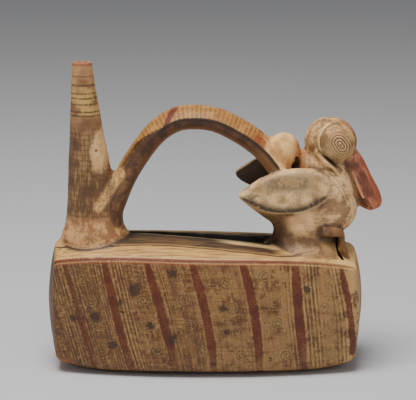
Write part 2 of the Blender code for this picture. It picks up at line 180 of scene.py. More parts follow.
def curve_through(points, count):
    """Evenly spread points on a smooth curve through the given ones."""
    ends = [2 * points[0] - points[1]] + list(points) + [2 * points[-1] - points[-2]]
    made = []
    for step in range(count):
        place = (len(points) - 1) * step / (count - 1)
        start = min(int(place), len(points) - 2)
        t = place - start
        a, b, c, d = ends[start : start + 4]
        bend = (2 * a - 5 * b + 4 * c - d) * t * t + (3 * b - a - 3 * c + d) * t * t * t
        made.append((2 * b + (c - a) * t + bend) / 2)
    return made


# %% [markdown]
# ## The block
#
# The potter closed two long boxes of clay slabs against each other, and their faces swelled a
# little, like pillows. A cube cut into a fine grid does the same: every corner of the grid is moved
# onto a rounded box first, and then each face is pushed out, bowed or crowned by a named size. The
# groove between the two tops is one long wedge, cut away afterwards.


# %% The block's rounded and swollen grid
def gridded_cube(places):
    """A cube from -1 to 1 on each axis, cut by planes at the given places of each axis."""
    shape = bmesh.new()
    bmesh.ops.create_cube(shape, size=2.0)
    for axis, cuts in enumerate(places):
        normal = Vector((0.0, 0.0, 0.0))
        normal[axis] = 1.0
        for cut in cuts:
            bmesh.ops.bisect_plane(
                shape,
                geom=shape.verts[:] + shape.edges[:] + shape.faces[:],
                plane_co=normal * cut,
                plane_no=normal,
            )
    return shape


def grid_places(count, half, radius, bends):
    """Evenly spread cuts, with more beside each edge for its rounding."""
    edge = 1.0 - radius / half
    inner = [mix(-edge, edge, step / count) for step in range(count + 1)]
    outer = [1.0 - bend * radius / half for bend in bends]
    return [-place for place in outer] + inner + outer


def rounded(point, halves, radius):
    """The point of a cube of halves moved onto the same cube with rounded edges."""
    full = [point[i] * halves[i] for i in range(3)]
    inner = Vector([max(-halves[i] + radius, min(halves[i] - radius, full[i])) for i in range(3)])
    out = Vector(full) - inner
    if out.length > 0.0:
        inner += out.normalized() * radius
    return [inner[i] / halves[i] for i in range(3)]


def groove_y(x):
    return mix(GROOVE_LEFT_Y, GROOVE_RIGHT_Y, x / BODY_LENGTH + 0.5)


def groove_half_width(x):
    """Half the groove's width: it widens up to the bird, and narrows past it."""
    widest = BODY_LENGTH / 2 - BIRD_INSET
    if x < widest:
        share = (x + BODY_LENGTH / 2) / (widest + BODY_LENGTH / 2)
        return mix(GROOVE_LEFT_WIDTH, GROOVE_WIDTH, share) / 2
    return mix(GROOVE_WIDTH, GROOVE_END_WIDTH, (x - widest) / BIRD_INSET) / 2


def groove_depth(x):
    along = x / BODY_LENGTH + 0.5
    return GROOVE_DEPTH * mix(GROOVE_END_SHARE, 1.0, 4 * along * (1.0 - along))


def front_y(u, w):
    return -FRONT_DEPTH + FRONT_BOW * u * u + FACE_BULGE * w * w


def back_y(u, w):
    return BACK_DEPTH - BACK_BOW * u * u - FACE_BULGE * w * w


def end_x(v, w):
    return BODY_LENGTH / 2 + END_BULGE * (1.0 - v * v) * (1.0 - w * w)


def top_z(u, v):
    return BODY_HEIGHT - TOP_TILT * (u + 1.0) / 2 - END_DROP * u**END_EASE - TOP_CROWN * v * v


def bottom_z(u, v):
    lift = BELLY_LIFT * max(0.0, abs(v) - REST_SHARE) / (1.0 - REST_SHARE)
    return lift + CORNER_LIFT * max(0.0, abs(u) - REST_SHARE) ** 2 / (1.0 - REST_SHARE) ** 2


def valley(y, x):
    """How much of the soft dip beside the groove there is at a place, from 0 to 1."""
    return math.exp(-(((y - groove_y(x)) / (VALLEY_WIDTH + groove_half_width(x))) ** 2))


def valley_drop(y, x):
    return VALLEY_DEPTH * (x / BODY_LENGTH + 0.5) ** 2 * valley(y, x)


# %% The block, and the wedge of its groove
BLOCK_CUTS, EDGE_BENDS = (40, 24, 20), (0.1, 0.25, 0.45, 0.7)
GROOVE_STEPS = 40


def rounded_grid(halves, counts, bends=(0.3,)):
    """A finely cut cube that knows where a box of halves has its rounded edges."""
    return gridded_cube([grid_places(n, half, BODY_EDGE_RADIUS, bends) for n, half in zip(counts, halves)])


def block():
    halves = (BODY_LENGTH / 2, (FRONT_DEPTH + BACK_DEPTH) / 2, BODY_HEIGHT / 2)
    shape = rounded_grid(halves, BLOCK_CUTS, EDGE_BENDS)
    for vert in shape.verts:
        u, v, w = rounded(vert.co, halves, BODY_EDGE_RADIUS)
        x = u * end_x(v, w)
        y = mix(front_y(u, w), back_y(u, w), (v + 1.0) / 2)
        z = mix(bottom_z(u, v), top_z(u, v), (w + 1.0) / 2)
        z -= valley_drop(y, x) * max(0.0, w) ** END_EASE
        dent = END_DENT * valley(y, x) * max(0.0, abs(u) - END_DENT_START) / (1.0 - END_DENT_START)
        vert.co = (x - math.copysign(dent, u), y, z)
    return object_from("block", shape)


def top_at(x):
    return top_z(2 * x / BODY_LENGTH, 0.0)


def spout_foot():
    return Vector((-BODY_LENGTH / 2 + SPOUT_INSET + SPOUT_LEAN, SPOUT_Y, BODY_HEIGHT))


def groove():
    """The wedge that is cut out between the two chambers' tops."""
    left, right = spout_foot().x, BODY_LENGTH / 2 - WALL
    mouth, floor = GROOVE_MOUTH_SHARE, GROOVE_FLOOR_SHARE
    rings = []
    for step in range(GROOVE_STEPS + 1):
        x = mix(left, right, step / GROOVE_STEPS)
        half = groove_half_width(x)
        low, high = top_at(x) - groove_depth(x), BODY_HEIGHT + WALL
        corners = ((-mouth, high), (mouth, high), (floor, low), (-floor, low))
        rings.append([Vector((x, groove_y(x) + share * half, z)) for share, z in corners])
    return skin("groove", rings)


# %% [markdown]
# ## The spout and the handle
#
# The spout is a coil-built cone that leans a little, so it is a stack of rings. The handle is a
# flat strap of clay with a crowned outer face that meets its sides in a ridge. Its outline is swept
# along a smooth path through the places where the strap lies, from the spout's foot to the bird.


# %% The spout
SPOUT_STEPS, SPOUT_SIDES = 69, 48


def spout_section(z):
    """The spout's middle and its radius at a height."""
    foot = spout_foot()
    down = max(0.0, (SPOUT_HEIGHT - z) / (SPOUT_HEIGHT - foot.z))
    centre = Vector((foot.x - SPOUT_LEAN * (1.0 - down**SPOUT_CURVE), foot.y, z))
    flare = SPOUT_FLARE * math.exp(-max(0.0, z - foot.z) / SPOUT_FLARE_RISE)
    return centre, mix(SPOUT_RIM_RADIUS, SPOUT_FOOT_RADIUS, down**SPOUT_TAPER) + flare


def spout():
    rings = []
    for step in range(SPOUT_STEPS + 1):
        up = (step / SPOUT_STEPS) ** SPOUT_CURVE
        centre, radius = spout_section(mix(BODY_HEIGHT - GROOVE_DEPTH, SPOUT_HEIGHT, up))
        rings.append(circle(centre, radius, radius, SPOUT_SIDES))
    return skin("spout", rings)


# %% The bird's measure, and the handle that ends in its back
def bird(x, y, z):
    """A point from shares of the bird's height, measured from the pedestal's axis at the block's top."""
    base_x = BODY_LENGTH / 2 - BIRD_INSET
    return Vector((base_x, BIRD_Y, top_at(base_x))) + BIRD_HEIGHT * Vector((x, y, z))


def handle_path():
    """Points along the strap's middle, from inside the spout's foot to inside the bird's back."""
    foot, end = spout_foot(), bird(-0.15, 0.0, 0.50)
    top = HANDLE_TOP - HANDLE_THICKNESS / 2
    shares = ((0.075, -0.22), (0.088, 0.13), (0.121, 0.31), (0.163, 0.48), (0.222, 0.65), (0.321, 0.86))
    shares += ((0.425, 0.976), (0.532, 1.00), (0.643, 0.973), (0.764, 0.877), (0.847, 0.783))
    shares += ((0.907, 0.687), (0.963, 0.56), (0.989, 0.40))
    return [
        Vector((mix(foot.x, end.x, along), mix(foot.y, end.y, along), mix(BODY_HEIGHT, top, up)))
        for along, up in shares
    ]


# %% The handle
RIDGE = 0.07
HANDLE_GROWTH = 2.5
HANDLE_POINTS = curve_through(handle_path(), 90)


def handle_outline(sides=36):
    """The strap's cross-section: across from -0.5 to 0.5, and out from -0.51 to 0.49."""
    ring = []
    for side in range(sides):
        angle = math.tau * side / sides
        across, rise = math.cos(angle), math.sin(angle)
        if rise >= 0.0:
            ring.append((0.5 * across, RIDGE + (0.49 - RIDGE) * (1.0 - abs(across) ** 2.3)))
        else:
            square = (abs(across) ** 3 + abs(rise) ** 3) ** (-1 / 3)
            ring.append((0.5 * across * square, RIDGE + (0.51 + RIDGE) * rise * square))
    return ring


def handle():
    """The strap, which reaches its full width and thickness a little above its foot."""
    rings = []
    outline, last = handle_outline(), len(HANDLE_POINTS) - 1
    for index, point in enumerate(HANDLE_POINTS):
        ahead = HANDLE_POINTS[min(index + 1, last)] - HANDLE_POINTS[max(index - 1, 0)]
        outward = Vector((-ahead.z, 0.0, ahead.x)).normalized()
        grown = min(1.0, HANDLE_GROWTH * index / last)
        side = Vector((0.0, mix(HANDLE_FOOT_WIDTH, HANDLE_WIDTH, grown), 0.0))
        thickness = mix(HANDLE_FOOT_THICKNESS, HANDLE_THICKNESS, grown)
        rings.append([point + side * across + outward * (thickness * out) for across, out in outline])
    return skin("handle", rings)


# %% [markdown]
# ## The pelican and the whistle
#
# The bird was modelled from lumps of clay pressed together: an egg for the head, tubes for the
# neck, trunk and beak, a pad for each wing. Its places and sizes are shares of its height, so the
# pose holds together. The whistle is a hollow ball between the handle's end and the neck.


# %% Eggs and tubes of clay
def egg(name, centre, halves, tilt=0.0, columns=48, rows=28):
    """An ellipsoid tilted in the XZ plane, with its halves as shares of the bird's height."""
    shape = bmesh.new()
    bmesh.ops.create_uvsphere(shape, u_segments=columns, v_segments=rows, radius=BIRD_HEIGHT)
    bmesh.ops.rotate(shape, verts=shape.verts, matrix=Matrix.Rotation(math.pi / 2, 3, "Y"))
    bmesh.ops.scale(shape, verts=shape.verts, vec=halves)
    bmesh.ops.rotate(shape, verts=shape.verts, matrix=Matrix.Rotation(-tilt, 3, "Y"))
    bmesh.ops.translate(shape, verts=shape.verts, vec=centre)
    return object_from(name, shape)


def tube(name, points, radii, sides=32, depth_share=1.0, count=36):
    """A tube in the XZ plane through points, with a radius at each."""
    path = curve_through(points, count)
    sizes = curve_through([Vector((radius, 0.0, 0.0)) for radius in radii], count)
    rings = []
    for index, point in enumerate(path):
        ahead = path[min(index + 1, count - 1)] - path[max(index - 1, 0)]
        tilt = math.atan2(ahead.x, ahead.z)
        rings.append(circle(point, sizes[index].x, sizes[index].x * depth_share, sides, tilt))
    return skin(name, rings)


def bird_tube(name, stations, sides=32, depth_share=1.0):
    """A tube on the bird's middle plane, through stations of x, z and radius shares."""
    points = [bird(x, 0.0, z) for x, z, radius in stations]
    return tube(name, points, [BIRD_HEIGHT * radius for x, z, radius in stations], sides, depth_share)


# %% Pedestal, trunk, breast, neck and head
PEDESTAL_STEPS, PEDESTAL_SIDES = 39, 56


def pedestal():
    base = bird(0.0, 0.0, 0.0)
    low, high = base.z - GROOVE_DEPTH, bird(0.0, 0.0, 0.3).z
    rings = []
    for step in range(PEDESTAL_STEPS + 1):
        z = mix(low, high, step / PEDESTAL_STEPS)
        flare = PEDESTAL_FLARE * math.exp(-max(0.0, z - base.z + 0.004) / PEDESTAL_FLARE_RISE)
        radius = PEDESTAL_RADIUS + flare
        rings.append(circle((base.x, base.y, z), radius, radius * 0.95, PEDESTAL_SIDES))
    return skin("pedestal", rings)


def bird_trunk():
    stations = ((-0.52, 0.36, 0.03), (-0.38, 0.33, 0.10), (-0.22, 0.305, 0.18), (-0.05, 0.295, 0.225))
    return bird_tube("bird_trunk", stations + ((0.09, 0.28, 0.225), (0.22, 0.27, 0.16)), 40, 0.95)


def bird_breast():
    return egg("bird_breast", bird(0.215, 0.0, 0.268), (0.223, 0.205, 0.223))


def bird_neck():
    stations = ((0.19, 0.26, 0.205), (0.192, 0.41, 0.212), (0.174, 0.54, 0.184), (0.128, 0.665, 0.130))
    return bird_tube("bird_neck", stations + ((0.150, 0.78, 0.10),), 40)


HEAD_CENTRE = (0.209, 0.0, 0.808)


def bird_head():
    return egg("bird_head", bird(*HEAD_CENTRE), (0.214, 0.190, 0.202), math.radians(-20))


# %% Beak, eyes, wings and toes
BEAK_STATIONS = ((0.319, 0.743, 0.080), (0.403, 0.616, 0.090), (0.468, 0.484, 0.092))
BEAK_STATIONS += ((0.526, 0.369, 0.094), (0.563, 0.288, 0.080), (0.577, 0.252, 0.048))


def beak():
    return bird_tube("beak", BEAK_STATIONS, 40, 0.85)


def eye_mound(side):
    return egg("eye_mound", bird(0.247, side * 0.138, 0.815), (0.150, 0.055, 0.115), math.radians(25))


WING_OUTLINE = ((-0.542, 0.417), (-0.468, 0.470), (-0.356, 0.541), (-0.174, 0.603), (0.009, 0.616))
WING_OUTLINE += ((0.104, 0.585), (0.182, 0.523), (0.204, 0.443), (0.173, 0.373), (0.095, 0.319))
WING_OUTLINE += ((-0.035, 0.270), (-0.174, 0.257), (-0.321, 0.275), (-0.468, 0.341), (-0.525, 0.385))
WING_MIDDLE = Vector((-0.140, 0.0, 0.435))
WING_LAYERS = ((1.0, 0.150), (1.0, 0.232), (0.990, 0.248), (0.960, 0.258), (0.88, 0.265), (0.7, 0.269))
WING_LAYERS += ((0.3, 0.271),)


def wing_outline(scale=1.0):
    """The leaf shape of a wing in shares of the bird's height, shrunk about its middle."""
    points = [Vector((x, 0.0, z)) for x, z in WING_OUTLINE + WING_OUTLINE[:1]]
    return [WING_MIDDLE + scale * (point - WING_MIDDLE) for point in curve_through(points, 91)[:-1]]


def wing(side, back, lift):
    """A pad of clay with a steep edge and a softly crowned face, with its tip standing clear behind."""
    rings = []
    for scale, out in WING_LAYERS:
        leaf = [(point.x, out - 0.078 * (point.x + 0.158), point.z) for point in wing_outline(scale)]
        rings.append([bird(x - back, side * away, z + lift) for x, away, z in leaf])
    return skin("near_wing" if side < 0 else "far_wing", rings)


def pouch():
    """The fold of clay between the beak and the breast."""
    stations = ((0.315, 0.665, 0.055), (0.385, 0.545, 0.068), (0.440, 0.425, 0.070), (0.485, 0.325, 0.062))
    return bird_tube("pouch", stations + ((0.510, 0.270, 0.035),), 32, 0.75)


RIDGE_LINE = ((0.085, 0.765), (0.150, 0.680), (0.222, 0.632), (0.277, 0.572), (0.347, 0.480), (0.387, 0.402))
RIDGE_LINE += ((0.423, 0.322),)


def neck_ridge():
    """The sharp front ridge of the neck, from beside the slit under the eye down to the breast."""
    depths = (0.150, 0.163, 0.155, 0.136, 0.098, 0.050)
    points = [bird(x, -depth, z) for (x, z), depth in zip(RIDGE_LINE, depths)]
    return tube("neck_ridge", points, [0.0008, 0.0015, 0.0020, 0.0020, 0.0016, 0.0008], 16)


def toes():
    """The folded leg, the toe from it to the block, and the web of clay behind the toe."""
    radius = TOE_THICKNESS
    bar = [bird(0.141, -0.208, 0.107), bird(0.225, -0.186, 0.097), bird(0.298, -0.135, 0.085)]
    toe = [bar[-1], bird(0.304, -0.124, 0.023), bird(0.304, -0.124, -0.056), bird(0.349, -0.124, -0.123)]
    leg = tube("leg", bar, [radius * 0.95, radius, radius * 0.95], 16)
    web = egg("heel_web", bird(0.262, -0.04, 0.0), (0.045, 0.05, 0.13))
    return [leg, tube("toe", toe, [radius * 0.62] * 4, 16, 1.5), web]


# %% The whistle ball
def whistle_centre():
    return bird(-0.172, 0.0, 0.743)


def ball(name, radius, columns=40, rows=28):
    shape = bmesh.new()
    place = Matrix.Translation(whistle_centre())
    bmesh.ops.create_uvsphere(shape, u_segments=columns, v_segments=rows, radius=radius, matrix=place)
    return object_from(name, shape)


def handle_lump():
    """The lump of clay that fills the dip between the handle's end and the whistle ball."""
    return egg("handle_lump", bird(-0.262, 0.0, 0.740), (0.124, 0.125, 0.095), math.radians(-12))


def windway_wall():
    """The thin standing tube of clay between the ball and the neck."""
    stations = ((-0.02, 0.52, 0.030), (-0.012, 0.63, 0.028), (-0.008, 0.735, 0.022))
    return bird_tube("windway_wall", stations, 16, 2.0)


# %% [markdown]
# ## One skin of clay round everything
#
# Modelled apart, the parts would meet in hard lines, while wet clay is smeared over each joint. So
# the parts are joined and remeshed as one solid in small cubes, and then the inward corners are
# relaxed again and again. Each relaxing step moves a point towards the middle of its neighbours,
# which fills an inward corner like a thumb does. Outward edges are left almost as they are.

# %% Modifiers and cutters
def apply_modifiers(made):
    """Makes what an object's modifiers show its own mesh."""
    bpy.context.view_layer.update()
    mesh = bpy.data.meshes.new_from_object(made.evaluated_get(bpy.context.evaluated_depsgraph_get()))
    made.modifiers.clear()
    made.data = mesh


def cut_out(target, cutters, solver="MANIFOLD"):
    """Cuts each closed cutter out of the target's mesh, and removes the cutter."""
    for cutter in cutters:
        step = target.modifiers.new(cutter.name, "BOOLEAN")
        step.operation = "DIFFERENCE"
        step.solver = solver
        step.object = cutter
    apply_modifiers(target)
    for cutter in cutters:
        bpy.data.objects.remove(cutter)


# %% Rough shapes of all parts
body = block()
cut_out(body, [groove()], "EXACT")
PARTS = {
    "block": [body],
    "spout": [spout()],
    "handle": [handle()],
    "pedestal": [pedestal()],
    "bird": [bird_trunk(), bird_breast(), bird_neck(), neck_ridge()],
    "head": [bird_head(), eye_mound(-1.0), eye_mound(1.0)],
    "beak": [beak(), pouch()],
    "near_wing": [wing(-1.0, 0.0, 0.0)],
    "far_wing": [wing(1.0, 0.02, 0.09)],
    "toes": toes(),
    "whistle": [ball("whistle", WHISTLE_RADIUS), handle_lump(), windway_wall()],
}
print("rough parts:", {name: sum(len(o.data.polygons) for o in made) for name, made in PARTS.items()})


# %% Distance from any point to each rough part
def tree_of(made):
    points, faces = [], []
    for one in made:
        start = len(points)
        points += [vert.co.copy() for vert in one.data.vertices]
        faces += [[start + index for index in face.vertices] for face in one.data.polygons]
    return BVHTree.FromPolygons(points, faces)


TREES = {name: tree_of(made) for name, made in PARTS.items()}
NAMES = list(TREES)
REACH = 0.02


def measure(places):
    """The distance in millimetres from each place to each part, and the closest place on any of them."""
    table = np.full((len(places), len(NAMES)), 1000 * REACH)
    closest = places.copy()
    for row, place in enumerate(places):
        point = Vector(place)
        nearest = REACH
        for column, tree in enumerate(TREES.values()):
            found = tree.find_nearest(point, REACH)
            if found[0] is not None:
                table[row, column] = 1000 * found[3]
                if found[3] < nearest:
                    nearest = found[3]
                    closest[row] = found[0]
    return table, closest


def column(table, *names):
    """The smaller distance to the named parts."""
    return table[:, [NAMES.index(name) for name in names]].min(axis=1)


# %% Join and remesh them as one solid
SKIN_CELL = 0.00158


def joined_mesh(made, cell):
    """One closed skin round all the shapes, made of small cubes and smoothed by the remesher."""
    joined = bmesh.new()
    for one in made:
        joined.from_mesh(one.data)
    vessel = object_from("vessel_skin", joined)
    wrap = vessel.modifiers.new("one_skin", "REMESH")
    wrap.mode = "VOXEL"
    wrap.voxel_size = cell
    apply_modifiers(vessel)
    return vessel


vessel = joined_mesh([one for made in PARTS.values() for one in made], SKIN_CELL)
for made in PARTS.values():
    for one in made:
        bpy.data.objects.remove(one)
print("skin:", len(vessel.data.polygons), "faces")


# %% Read and move a mesh's points
def edges_of(mesh):
    pairs = np.empty(2 * len(mesh.edges), np.int64)
    mesh.edges.foreach_get("vertices", pairs)
    return pairs.reshape(-1, 2)


def places_of(mesh):
    places = np.empty(3 * len(mesh.vertices))
    mesh.vertices.foreach_get("co", places)
    return places.reshape(-1, 3)


def normals_of(mesh):
    normals = np.empty(3 * len(mesh.vertices), np.float32)
    mesh.vertex_normals.foreach_get("vector", normals)
    return normals.reshape(-1, 3).astype(float)


def middle_of_neighbours(values, pairs):
    """The mean of what each point's neighbours have, over the pairs that edges join."""
    total = np.zeros_like(values)
    count = np.zeros(len(values))
    for near, far in ((0, 1), (1, 0)):
        for axis in range(values.shape[1]):
            total[:, axis] += np.bincount(pairs[:, near], values[pairs[:, far], axis], len(values))
        count += np.bincount(pairs[:, near], minlength=len(values))
    return total / count[:, None]


def put_places(mesh, places):
    mesh.vertices.foreach_set("co", places.ravel())
    mesh.update()


# %% Smaller faces where the finest work comes
FINE_PARTS = ("head", "beak", "near_wing", "toes", "whistle")
FINE_REACH, RIDGE_REACH, RIM_ZONE = 1.2, 5.0, 0.006
EYE = (0.280, 0.812)
EYE_LENS, EYE_LENGTH, EYE_FIELD = math.radians(-53), 2.6, 9.5
MIDDLE_SHARE, CHEEK_SHARE = 0.06, 0.35 * EYE[0]


def refine(mesh, chosen):
    """Cuts the faces between the chosen points into four."""
    shape = bmesh.new()
    shape.from_mesh(mesh)
    shape.verts.ensure_lookup_table()
    edges = [edge for edge in shape.edges if chosen[edge.verts[0].index] and chosen[edge.verts[1].index]]
    bmesh.ops.subdivide_edges(shape, edges=edges, cuts=1, use_grid_fill=True)
    shape.to_mesh(mesh)
    shape.free()


def eye_distance(places):
    """Millimetres from the middle of each eye across its slanting lens, seen from the bird's side."""
    centre = bird(EYE[0], 0.0, EYE[1])
    ahead, up = places[:, 0] - centre.x, places[:, 2] - centre.z
    along = 1000 * (ahead * math.cos(EYE_LENS) + up * math.sin(EYE_LENS))
    across = 1000 * (up * math.cos(EYE_LENS) - ahead * math.sin(EYE_LENS))
    return np.hypot(np.hypot(along, EYE_LENGTH) - EYE_LENGTH, across)


def line_distance(places, points):
    """Millimetres from each place to a line through points, seen from the bird's side."""
    nearest = np.full(len(places), 1e9)
    for start, end in zip(points, points[1:]):
        run = np.array([end.x - start.x, end.z - start.z])
        offset = places[:, [0, 2]] - np.array([start.x, start.z])
        along = np.clip(offset @ run / (run @ run), 0.0, 1.0)
        nearest = np.minimum(nearest, 1000 * np.hypot(*(offset - along[:, None] * run).T))
    return nearest


def ridge_distance(places):
    return line_distance(places, [bird(x, 0.0, z) for x, z in RIDGE_LINE])


places = places_of(vessel.data)
near_part = column(measure(places)[0], *FINE_PARTS) < FINE_REACH
rim = places[:, 2] > SPOUT_HEIGHT - RIM_ZONE
beside = np.abs(places[:, 1] - BIRD_Y) > MIDDLE_SHARE * BIRD_HEIGHT
ridge = (ridge_distance(places) < RIDGE_REACH) & beside
refine(vessel.data, near_part | rim | ridge)
places = places_of(vessel.data)
cheek = np.abs(places[:, 1] - BIRD_Y) > CHEEK_SHARE * BIRD_HEIGHT
near_eye = (eye_distance(places) < EYE_FIELD) & (places[:, 0] > bird(0.1, 0.0, 0.0).x)
refine(vessel.data, near_eye & cheek)
print("refined skin:", len(vessel.data.polygons), "faces")

# %% Put the skin back on the rough shapes, and relax the inward corners
SOFT = ("block", "spout", "handle", "pedestal", "bird", "head", "whistle")
FILLET, FOOT_SHARE, HUMP_SHARE = 3.5, 0.4, 2.2
PEDESTAL_ZONE, SPOUT_ZONE, HUMP_ZONE = 5.0, 6.0, 7.0
SPOUT_ZONE_TOP = 0.108
RELAX_ROUNDS = 30


def relax(mesh, rounds):
    """Moves the points onto the rough shapes, and fills the inward corners between soft parts."""
    pairs, places = edges_of(mesh), places_of(mesh)
    table, closest = measure(places)
    blended = np.sort(table[:, [NAMES.index(name) for name in SOFT]], axis=1)
    crisp = column(table, *[name for name in NAMES if name not in SOFT])
    second = np.sort(table, axis=1)[:, 1]
    places += np.clip((second - 0.8) / 1.5, 0.0, 1.0)[:, None] * (closest - places)
    put_places(mesh, places)
    foot = (column(table, "pedestal") < PEDESTAL_ZONE) & (places[:, 2] < bird(0.0, 0.0, 0.08).z)
    foot |= (column(table, "spout", "handle") < SPOUT_ZONE) & (places[:, 2] < SPOUT_ZONE_TOP)
    hump = np.maximum(column(table, "whistle"), column(table, "handle")) < HUMP_ZONE
    reach = np.where(foot, FOOT_SHARE * FILLET, np.where(hump, HUMP_SHARE * FILLET, FILLET))
    weight = np.exp(-((blended[:, 1] / reach) ** 2)) * np.clip(crisp / 2.5, 0.0, 1.0)
    for turn in range(rounds):
        move = middle_of_neighbours(places, pairs) - places
        inward = np.einsum("ij,ij->i", move, normals_of(mesh))
        share = np.where(inward > 0.0, weight, 0.35 * weight)
        if turn < 2:
            share = np.maximum(share, 0.25)
        places = places + 0.9 * share[:, None] * move
        put_places(mesh, places)


relax(vessel.data, RELAX_ROUNDS)
places = places_of(vessel.data)
print("relaxed box in mm:", np.round(1000 * np.array([places.min(0), places.max(0)]), 1))

# %% [markdown]
# ## Relief, slits and hollows
#
# The potter incised rings round the eye and a line between beak and pouch while the clay was still
# leathery. Here the points of the skin move along their normals by a small formula of their place.
# Slits and the rooms inside are cut with a Boolean, as the real vessel is hollow and can be poured
# from. The rooms' walls are as thick as the model's.


# %% Relief along the normals
def bump_of(distance, width):
    """A soft bump, 1 where the distance is 0 and gone at about twice the width."""
    return np.exp(-((distance / width) ** 2))


EYE_PITCH, EYE_PUPIL, EYE_RING_START = 1.8, 1.0, 2.4
RING_DEPTH, PUPIL_RISE, RIDGE_RISE = 0.36, 0.55, 0.90
LIP_RISE, GROOVE_CUT, PANEL_CUT = 0.45, 0.80, 0.85
HAND_HEIGHT, HAND_SCALE = 0.30, 28.0
GROOVE_LINE = (bird(0.394, 0.0, 0.565), bird(0.428, 0.0, 0.475), bird(0.478, 0.0, 0.360))
PANEL_LINE = (bird(0.456, 0.0, 0.550), bird(0.528, 0.0, 0.390))


def relief(places, normals, table):
    """How far each point moves outwards, in millimetres."""
    facing = np.clip((np.abs(normals[:, 1]) - 0.45) / 0.3, 0.0, 1.0)
    head, beaks = column(table, "head"), column(table, "beak")
    from_eye = eye_distance(places)
    fade = np.clip((8.8 - from_eye) / 5.0, 0.0, 1.0) * np.clip((from_eye - 0.6) / 1.2, 0.0, 1.0)
    rings = RING_DEPTH * np.cos(math.tau * (from_eye - EYE_RING_START) / EYE_PITCH) * fade
    rings += PUPIL_RISE * bump_of(from_eye, EYE_PUPIL)
    moved = rings * np.clip(1.5 - head, 0.0, 1.0) * facing
    lines = LIP_RISE * bump_of(line_distance(places, GROOVE_LINE) - 1.2, 0.6)
    lines -= GROOVE_CUT * bump_of(line_distance(places, GROOVE_LINE), 0.9)
    lines -= PANEL_CUT * np.clip((4.2 - line_distance(places, PANEL_LINE)) / 3.0, 0.0, 1.0)
    moved += lines * np.clip(1.5 - beaks, 0.0, 1.0) * facing
    beside = np.clip((np.abs(places[:, 1] - BIRD_Y) * 1000 - 4.0) / 3.0, 0.0, 1.0)
    ridge = RIDGE_RISE * bump_of(ridge_distance(places), 1.3)
    ridge *= np.clip((1000 * places[:, 2] - 122.0) / 16.0, 0.0, 1.0)
    moved += ridge * np.clip(1.5 - column(table, "bird"), 0.0, 1.0) * beside
    hand = [noise.fractal(Vector(place) * HAND_SCALE, 1.0, 2.0, 3) for place in places]
    return moved + HAND_HEIGHT * np.array(hand)


REST_ZONE = 0.004
places, normals = places_of(vessel.data), normals_of(vessel.data)
height = relief(places, normals, measure(places)[0])
height[places[:, 2] < REST_ZONE] = 0.0
put_places(vessel.data, places + 0.001 * height[:, None] * normals)
print("relief in mm:", round(height.min(), 2), "to", round(height.max(), 2))


# %% The slits and the hollows as cutters
CHIN_LINE = ((0.108, 0.752), (0.150, 0.716), (0.194, 0.679), (0.238, 0.641), (0.284, 0.592))
TOE_LINE = ((0.262, 0.035), (0.261, -0.020), (0.271, -0.074), (0.302, -0.124), (0.342, -0.150))


def chin_slit():
    """The dark gap between the neck's front ridge and the cheek."""
    points = [bird(x, -0.185, z) for x, z in CHIN_LINE]
    return tube("chin_slit", points, [0.0004, 0.0009, 0.0014, 0.0014, 0.0003], 16, 2.6)


def toe_slit():
    """The dark gap behind the toe, from the leg down to the block."""
    points = [bird(x, -0.140, z) for x, z in TOE_LINE]
    return tube("toe_slit", points, [0.0006, 0.0007, 0.0008, 0.0008, 0.0004], 16, 10.0)


def whistle_rooms():
    """The whistle's hollow, its narrow mouth on both sides and the hole between them."""
    mouth = bird(-0.064, 0.0, 0.663)
    room = ball("whistle_room", WHISTLE_RADIUS - WHISTLE_WALL)
    gap = egg("whistle_mouth", mouth, (0.018, 0.140, 0.047), math.radians(15), 24, 16)
    middle = mix(whistle_centre(), mouth, 0.6)
    hole = tube("whistle_hole", [whistle_centre(), middle, mouth], [0.0014] * 3, 12)
    return [room, gap, hole]


def spout_bore():
    """The bore, from the front chamber up through the rim."""
    x, radius = -BODY_LENGTH / 2 + SPOUT_INSET, SPOUT_BORE_RADIUS
    return skin("spout_bore", [circle((x, SPOUT_Y, z), radius, radius, 32) for z in (0.085, 0.225)])


def passage():
    """The low hole through the partition that joins the two chambers, below the spout."""
    x = -BODY_LENGTH / 2 + SPOUT_INSET
    shape = bmesh.new()
    place = Matrix.Translation((x, groove_y(x), PASSAGE_HEIGHT)) @ Matrix.Rotation(math.pi / 2, 4, "X")
    sizes = {"segments": 24, "radius1": PASSAGE_RADIUS, "radius2": PASSAGE_RADIUS}
    bmesh.ops.create_cone(shape, cap_ends=True, depth=PARTITION + 4 * WALL, matrix=place, **sizes)
    return object_from("passage", shape)


def bird_rooms():
    """The hollow in the pedestal, trunk, neck and head, and its duct down to the back chamber."""
    base = bird(0.0, 0.0, 0.0)
    inner, bore = PEDESTAL_RADIUS - WALL, PEDESTAL_BORE_RADIUS
    levels = (base.z + WALL / 2, bird(0.0, 0.0, 0.30).z)
    room = skin("pedestal_room", [circle((base.x, base.y, z), inner, inner * 0.9, 32) for z in levels])
    trunk = egg("trunk_room", bird(0.06, 0.0, 0.29), (0.30, 0.160, 0.165), 0.0, 28, 16)
    head = egg("head_room", bird(*HEAD_CENTRE), (0.155, 0.130, 0.145), 0.0, 24, 14)
    neck = bird_tube("neck_room", ((0.15, 0.36, 0.06), (0.115, 0.54, 0.05), (0.16, 0.80, 0.05)), 16)
    duct_y = groove_y(base.x) + groove_half_width(base.x) + WALL + bore / 2
    ends = ((base.x, duct_y, base.z - 3 * WALL), (base.x, base.y + bore, base.z + 2 * WALL))
    duct = skin("bird_duct", [circle(end, bore, bore, 20) for end in ends])
    return [room, trunk, head, neck, duct]


# %% The two chambers, with the partition between them
CHAMBER_CUTS = (14, 6, 8)


